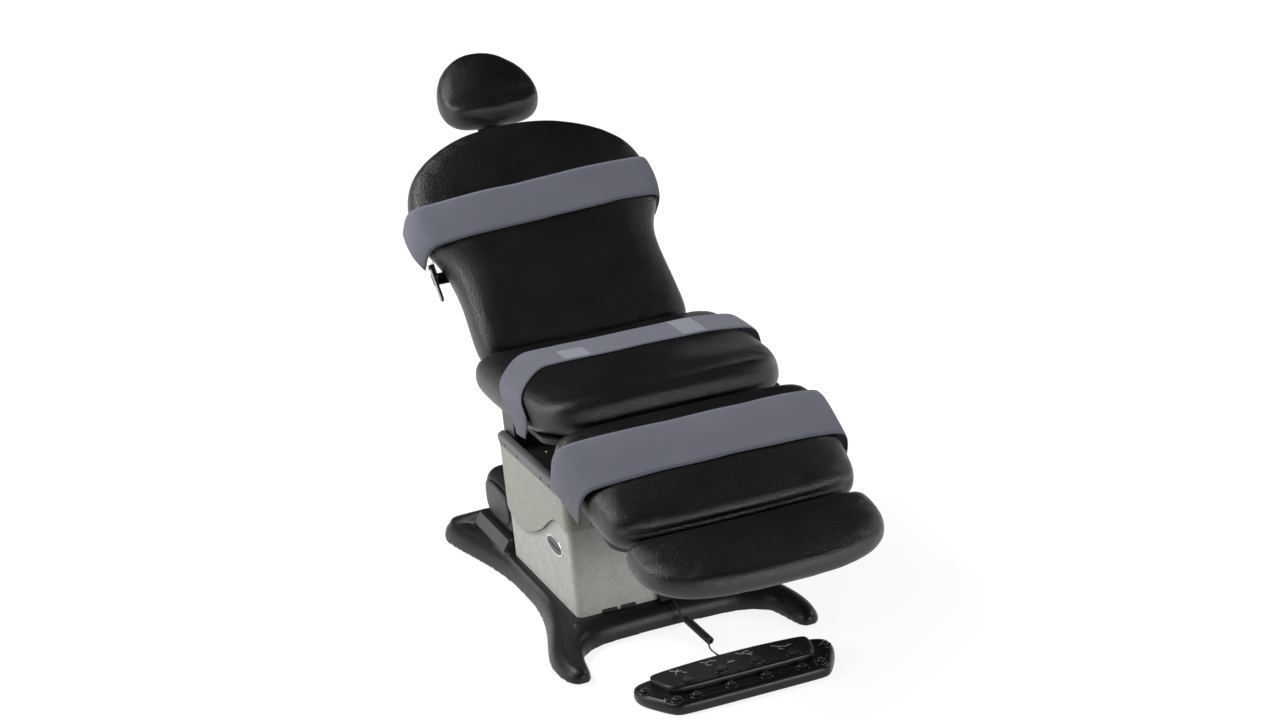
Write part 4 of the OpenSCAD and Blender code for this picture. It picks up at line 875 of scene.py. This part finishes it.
coverMesh = eased(voxelMesh(nodes["base_cover"].data.copy(), mouldSettings["voxel"]), mouldSettings["coverRounds"],
                  armShare)
addPiece("baseCover", coverMesh, blackCover, "base", ("base_cover",))
podMesh = eased(voxelMesh(nodes["rear_pod"].data.copy(), mouldSettings["voxel"]), mouldSettings["podRounds"], allSoft)
addPiece("rearPod", podMesh, blackCover, "base", ("rear_pod",))
print("base moulded")

# Plates: an outline pulled in step by step while it rises


def pulledIn(line, d):
    n = len(line)
    made = []
    for i, p in enumerate(line):
        t = (line[(i + 1) % n] - line[i - 1]).normalized()
        made.append(Vector((p.x - t.y * d, p.y + t.x * d)))
    return made


def plateRings(line, levels, lift=None):
    rings = []
    for step in levels:
        ring = pulledIn(line, step[0])
        rings.append([Vector((p.x, p.y, step[1] + (step[2] * lift(p) if lift else 0))) for p in ring])
    return rings


def mm(values):
    return [tuple(v / 1000 for v in step) for step in values]


def joined(name, parts, place):  # several closed lofts in one mesh
    points, faces = [], []
    for rings in parts:
        size, start = len(rings[0]), len(points)
        points += [p for ring in rings for p in ring]
        faces += loftFaces(len(rings), size, start)
        faces.append(tuple(start + i for i in reversed(range(size))))
        faces.append(tuple(start + (len(rings) - 1) * size + i for i in range(size)))
    return meshOf(name, points, faces, place)


def loopTube(line, z, radius, sides=8):  # a raised lip round a closed line
    rings = []
    for k in range(sides):
        a = 2 * math.pi * k / sides
        ring = pulledIn(line, radius * math.cos(a))
        rings.append([Vector((p.x, p.y, z + radius * math.sin(a))) for p in ring])
    return rings


def lipMesh(name, loops, place):
    points, faces = [], []
    for rings in loops:
        size, start, count = len(rings[0]), len(points), len(rings)
        points += [p for ring in rings for p in ring]
        for k in range(count):
            for i in range(size):
                j, m = (i + 1) % size, (k + 1) % count
                faces.append((start + k * size + i, start + k * size + j, start + m * size + j, start + m * size + i))
    return meshOf(name, points, faces, place)


def oval(width, height, count=48):
    return [Vector((width / 2 * math.cos(2 * math.pi * i / count), height / 2 * math.sin(2 * math.pi * i / count)))
            for i in range(count)]


# Foot control: tray with a raised band in front, deck with a rim, lips round the keys, line icons

controlSettings = {
    "tray": [(0.35, -0.01), (0.70, -0.01), (0.76, 0.0), (0.80, 0.06), (0.96, 0.46), (1.0, 0.58), (1.0, 0.82), (0.96, 0.94),
             (0.80, 1.0), (0.40, 1.04)],
    "deck": [(0.40, 0), (0.82, 0), (0.90, 0.06), (0.97, 0.45), (1.0, 0.80), (0.98, 0.90), (0.80, 0.93), (0.40, 1.02)],
    "trayLevels": [(7, 0.2, 0), (2, 1.5, 0), (0, 6, 0), (0, 16, 0), (1.2, 21.5, 0), (4, 24.6, 1.6), (8, 25.6, 3.0), (11.5, 25.8, 3.2),
                   (14.5, 25.9, 2.2), (16.5, 26, 0.2), (19, 26, 0)],
    "deckLevels": [(0.5, 25.5, 0), (0, 27, 0), (0, 35, 0), (1.2, 38.6, 0.6), (3.0, 39.8, 2.0), (5, 40, 2.6), (6.8, 40, 2.0),
                   (8.4, 40, 0.2), (10.5, 40, 0)],
    "row": 83, "upper": (-8, 13), "lower": (-55, 6), "ends": [(214, 22), (170, -52)],
    "key": 9.0, "lip": 1.4, "tops": [],
}


def keySpots(s):
    upper, lower = [], []
    for i in range(4):
        x, bend = (i - 1.5) * s["row"], 1 - ((i - 1.5) / 1.5) ** 2
        upper.append((x, s["upper"][0] + s["upper"][1] * bend))
        lower.append((x, s["lower"][0] + s["lower"][1] * bend))
    return upper, lower + [(side * x, y) for side in (-1, 1) for x, y in s["ends"]]


def frontShare(low, high):
    return lambda p: smoothStep(high, low, p.y)


def bandShare(ends):  # the tray's band stops short of the end keys
    keys = [Vector((side * x, y)) / 1000 for side in (-1, 1) for x, y in ends]
    front = frontShare(0.035, 0.065)
    return lambda p: front(p) * min(smoothStep(0.015, 0.024, (p - key).length) for key in keys)


def rounder(line, times):
    for _ in range(times):
        line = [(line[i - 1] + line[i] * 2 + line[(i + 1) % len(line)]) / 4 for i in range(len(line))]
    return line


def addControl(s):
    trayLine = rounder(outline(s["tray"], 0.470, 0.162, -0.081), 26)
    deckLine = rounder(outline(s["deck"], 0.380, 0.112, -0.032), 10)
    trayRings = plateRings(trayLine, mm(s["trayLevels"]), bandShare(s["ends"]))
    deckRings = plateRings(deckLine, mm(s["deckLevels"]), frontShare(0.040, 0.062))
    for name, rings, node in (("controlTray", trayRings, "control_tray"), ("controlDeck", deckRings, "control_deck")):
        mesh = loftMesh(name, rings, atControl)
        s["tops"].append(BVHTree.FromPolygons([v.co for v in mesh.vertices], [p.vertices for p in mesh.polygons]))
        addPiece(name, mesh, controlPlastic, "base", (node,))
    upper, lower = keySpots(s)
    r = s["key"]
    dShape = [(-1.72, -1.38), (0, -1.48), (1.72, -1.38), (1.72, -0.4), (1.1, 0.95), (0.4, 1.75), (-0.4, 1.75), (-1.1, 0.95),
              (-1.72, -0.4)]
    loops = []
    for x, y in upper:
        line = closedCurve([Vector(((x + a * r) / 1000, (y + b * r) / 1000)) for a, b in dShape], 5)
        loops.append(loopTube(line, 0.0402, s["lip"] / 1000))
    for x, y in lower:
        line = [p + Vector((x / 1000, y / 1000)) for p in oval(0.0265, 0.0265, 32)]
        loops.append(loopTube(line, 0.0262, s["lip"] / 1000))
    # the lips take the key plastic, whose lighter colour is a painted highlight
    addPiece("keyLips", lipMesh("keyLips", loops, atControl), keyPlasticPaintedHighlight, "base")


addControl(controlSettings)

iconSettings = {
    "lines": [  # plain strokes of a reclining chair, in millimetres on the deck
        [(-140, 62), (-128, 51), (-115, 48)], [(-134, 35), (-128, 51), (-120, 60)], [(-117, 40), (-110, 34)],
        [(-66, 64), (-55, 56), (-45, 60), (-32, 54)], [(-55, 56), (-60, 44), (-48, 39)],
        [(18, 64), (29, 54), (41, 47), (53, 50)], [(29, 54), (38, 62), (49, 61)], [(41, 47), (46, 36)],
        [(100, 56), (113, 43), (127, 37), (141, 41)], [(113, 43), (108, 31), (119, 26)],
    ],
    "frontLines": [[(-205, -36), (-196, -46), (-186, -44)], [(-200, -52), (-196, -46), (-190, -36)]],
    "bar": (-6, 31.8), "stroke": 0.0011,
}


def addIcons(s, tops):
    data = bpy.data.curves.new("controlIcons", "CURVE")
    data.dimensions = "3D"
    data.bevel_depth = s["stroke"]
    data.bevel_resolution = 1
    data.use_fill_caps = True
    for lines, top, above in zip((s["frontLines"], s["lines"]), tops, (0.030, 0.041)):
        for line in lines:
            path = data.splines.new("POLY")
            path.points.add(len(line) - 1)
            for point, (x, y) in zip(path.points, line):
                spot = top.find_nearest(atControl @ Vector((x / 1000, y / 1000, above)))[0]
                point.co = (*spot, 1)
    icons = bpy.data.objects.new("controlIcons", data)
    bpy.context.scene.collection.objects.link(icons)
    data.materials.append(iconPaint)
    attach(icons, "base")
    x, y = s["bar"]
    line = closedCurve([Vector(((x + a) / 1000, (y + b) / 1000)) for a, b in
                        ((-9, -2), (0, -2), (9, -2), (9, 2), (0, 2), (-9, 2))], 3)
    rings = plateRings(line, [(0, 0.0398), (0, 0.0404), (0.0004, 0.0407)])
    addPiece("controlBar", loftMesh("controlBar", rings, atControl), iconPaint, "base")


addIcons(iconSettings, controlSettings["tops"])
print("foot control made")

# Trim on the base and the lift

trimSettings = {"capY": -0.126, "capZ": 0.200, "capWidth": 0.108, "capHeight": 0.046, "shroudX": -0.203}


def turned(origin, across, up, out):
    return atColumn @ moved(*origin) @ Matrix((across, up, out)).transposed().to_4x4()


def addTrim(s):
    atLeft = turned((s["shroudX"], s["capY"], s["capZ"]), (0, -1, 0), (0, 0, 1), (-1, 0, 0))
    face = plateRings(oval(s["capWidth"], s["capHeight"]), mm([(3, -1), (3, 1.0), (8, 1.5), (14, 1.7)]))
    addPiece("capFace", loftMesh("capFace", face, atLeft), greyPanel, "base", ("oval_cap",))
    rim = plateRings(oval(s["capWidth"], s["capHeight"], 64), mm([(0, -1), (0, 0.7), (1, 1.4), (2.6, 1.7), (4.2, 1.5), (5.4, 0.6)]))
    addPiece("capRim", loftMesh("capRim", rim, atLeft), chrome, "base")
    sides = []
    for side in (-1, 1):
        line = closedCurve([Vector(p) for p in ((-0.085, -0.05), (0.085, -0.05), (0.09, 0.0), (0.085, 0.035), (0.05, 0.048),
                                                (-0.06, 0.048), (-0.088, 0.03), (-0.09, -0.01))], 6)
        place = turned((side * 0.1915, 0.338, 0.148), (0, side, 0), (0, 0, 1), (side, 0, 0))
        mesh = loftMesh("podPanel", plateRings(line, mm([(0, 0), (0.4, 2.6), (2.5, 4.6), (6, 5.4), (12, 5.8)])), place)
        addPiece("podPanelLeft" if side < 0 else "podPanelRight", mesh, podPaint, "base")
    screws = [[[moved(x, y, 0.3578 + z) @ Vector((r * math.cos(a * math.pi / 8), r * math.sin(a * math.pi / 8), 0))
                for a in range(16)] for r, z in ((0.0048, 0), (0.0048, 0.0012), (0.0036, 0.0026), (0.0012, 0.0032))]
              for x, y in ((-0.139, 0.056), (-0.159, -0.071))]
    addPiece("trayScrews", joined("trayScrews", screws, atColumn), groundSteel, "lift")
    seam = [[Vector((-0.1494 + dx, -0.2488 - out, z)) for dx in (-0.0006, 0.0006)] + [
        Vector((-0.1494 + dx, -0.2480, z)) for dx in (0.0006, -0.0006)] for z, out in ((0.276, 0.0004), (0.351, 0.0004))]
    addPiece("shroudSeam", joined("shroudSeam", [seam], atColumn), greyPanel, "lift", smooth=False)
    tabs = [[[Vector((x + dx * w, -0.2445 + dy * 0.003, z)) for dx, dy in ((-1, -1), (1, -1), (1, 1), (-1, 1))]
             for z, w in ((0.0605, 0.018), (0.0665, 0.018), (0.0675, 0.0165))] for x in (-0.126, -0.081)]
    addPiece("rimTabs", joined("rimTabs", tabs, atColumn), blackCover, "base", smooth=False)
    rivet = [[Vector((r * math.cos(a * math.pi / 10), r * math.sin(a * math.pi / 10), z)) for a in range(20)]
             for r, z in ((0.0055, 0), (0.0055, 0.0015), (0.0042, 0.0034), (0.0015, 0.0042))]
    atPivot = turned((-0.2985, 0.2658, 0.8072), (0, -1, 0), (0, 0, 1), (-1, 0, 0))
    addPiece("leverRivet", loftMesh("leverRivet", rivet, atPivot), chrome, "lever")


addTrim(trimSettings)
print("trim made")

# Studio: plain light on the chair, a white floor and backdrop for the camera and in reflections

studioSettings = {
    "floorBounce": 0.30, "floorGlow": 0.85, "floorCatch": 0.26, "farGlow": 1.0, "fill": 0.15, "dimSky": 0.025,
    "whiteBelow": 0.052, "dimAbove": 0.156, "middle": (0, 0, 0.6),
    "lamps": [  # name, direction, distance, width, height, share of plain light
        ("upperLeft", (-0.55, 0.35, 0.76), 3.6, 1.7, 1.3, 0.80),
        ("leftSide", (-0.93, 0.25, 0.27), 3.4, 1.5, 1.5, 0.33),
        ("lowFront", (0.316, -0.93, 0.09), 4.0, 1.9, 0.6, 0.36),
        ("rightSide", (0.90, 0.10, 0.42), 3.6, 1.4, 1.2, 0.22),
    ],
}


def shownRays(base):  # camera, glossy and transmission rays see the studio's white
    path = [base.make("LightPath", output="Is %s Ray" % kind) for kind in ("Camera", "Glossy", "Transmission")]
    return (path[0] + path[1] + path[2]).ranged(0, 1), path[0]


def addWorld(s):
    world = bpy.data.worlds.new("studio")
    bpy.context.scene.world = world
    world.use_nodes = True
    tree = world.node_tree
    tree.nodes.clear()
    base = Wire(tree, None)
    shown, camera = shownRays(base)
    height = base.make("TexCoord", output="Generated").axis("Z")
    band = height.ranged(s["whiteBelow"], s["dimAbove"], 1.0, s["dimSky"])
    sky = base.make("Background", {"Color": camera + (1 - camera) * band})
    plain = base.make("Background", {"Color": (*[s["fill"]] * 3, 1)})
    mixed = base.make("MixShader", {0: shown, 1: plain, 2: sky})
    tree.links.new(mixed.socket, tree.nodes.new("ShaderNodeOutputWorld").inputs["Surface"])


def addFloor(s):
    mesh = meshOf("floor", [(-20, -20, 0), (20, -20, 0), (20, 20, 0), (-20, 20, 0)], [(0, 1, 2, 3)])
    floor = bpy.data.objects.new("floor", mesh)
    bpy.context.scene.collection.objects.link(floor)
    material = bpy.data.materials.new("studioFloor")
    material.use_nodes = True
    tree = material.node_tree
    tree.nodes.clear()
    base = Wire(tree, None)
    shown = shownRays(base)[0]
    place = base.make("TexCoord", output="Object")
    away = place.make("VectorMath", {0: place}, output="Value", operation="LENGTH")
    glow = base.make("Emission", {"Color": (1, 1, 1, 1), "Strength": away.ranged(0.6, 1.8, s["floorGlow"], s["farGlow"])})
    catch = base.make("BsdfDiffuse", {"Color": (*[s["floorCatch"]] * 3, 1)})
    white = base.make("AddShader", {0: glow, 1: catch})
    plain = base.make("BsdfDiffuse", {"Color": (*[s["floorBounce"]] * 3, 1)})
    mixed = base.make("MixShader", {0: shown, 1: plain, 2: white})
    tree.links.new(mixed.socket, tree.nodes.new("ShaderNodeOutputMaterial").inputs["Surface"])
    mesh.materials.append(material)


def addLamps(s):
    for name, direction, distance, width, height, share in s["lamps"]:
        lamp = bpy.data.lights.new(name, "AREA")
        lamp.shape = "RECTANGLE"
        lamp.size, lamp.size_y = width, height
        lamp.energy = share * (math.pi * distance) ** 2
        holder = bpy.data.objects.new(name, lamp)
        bpy.context.scene.collection.objects.link(holder)
        aim = Vector(direction).normalized()
        spot = Vector(s["middle"]) + aim * distance
        holder.matrix_world = Matrix.Translation(spot) @ (-aim).to_track_quat("-Z", "Y").to_matrix().to_4x4()
        holder.visible_camera = False


addWorld(studioSettings)
addFloor(studioSettings)
addLamps(studioSettings)
bpy.context.scene.view_settings.view_transform = "Standard"
print("studio lit")
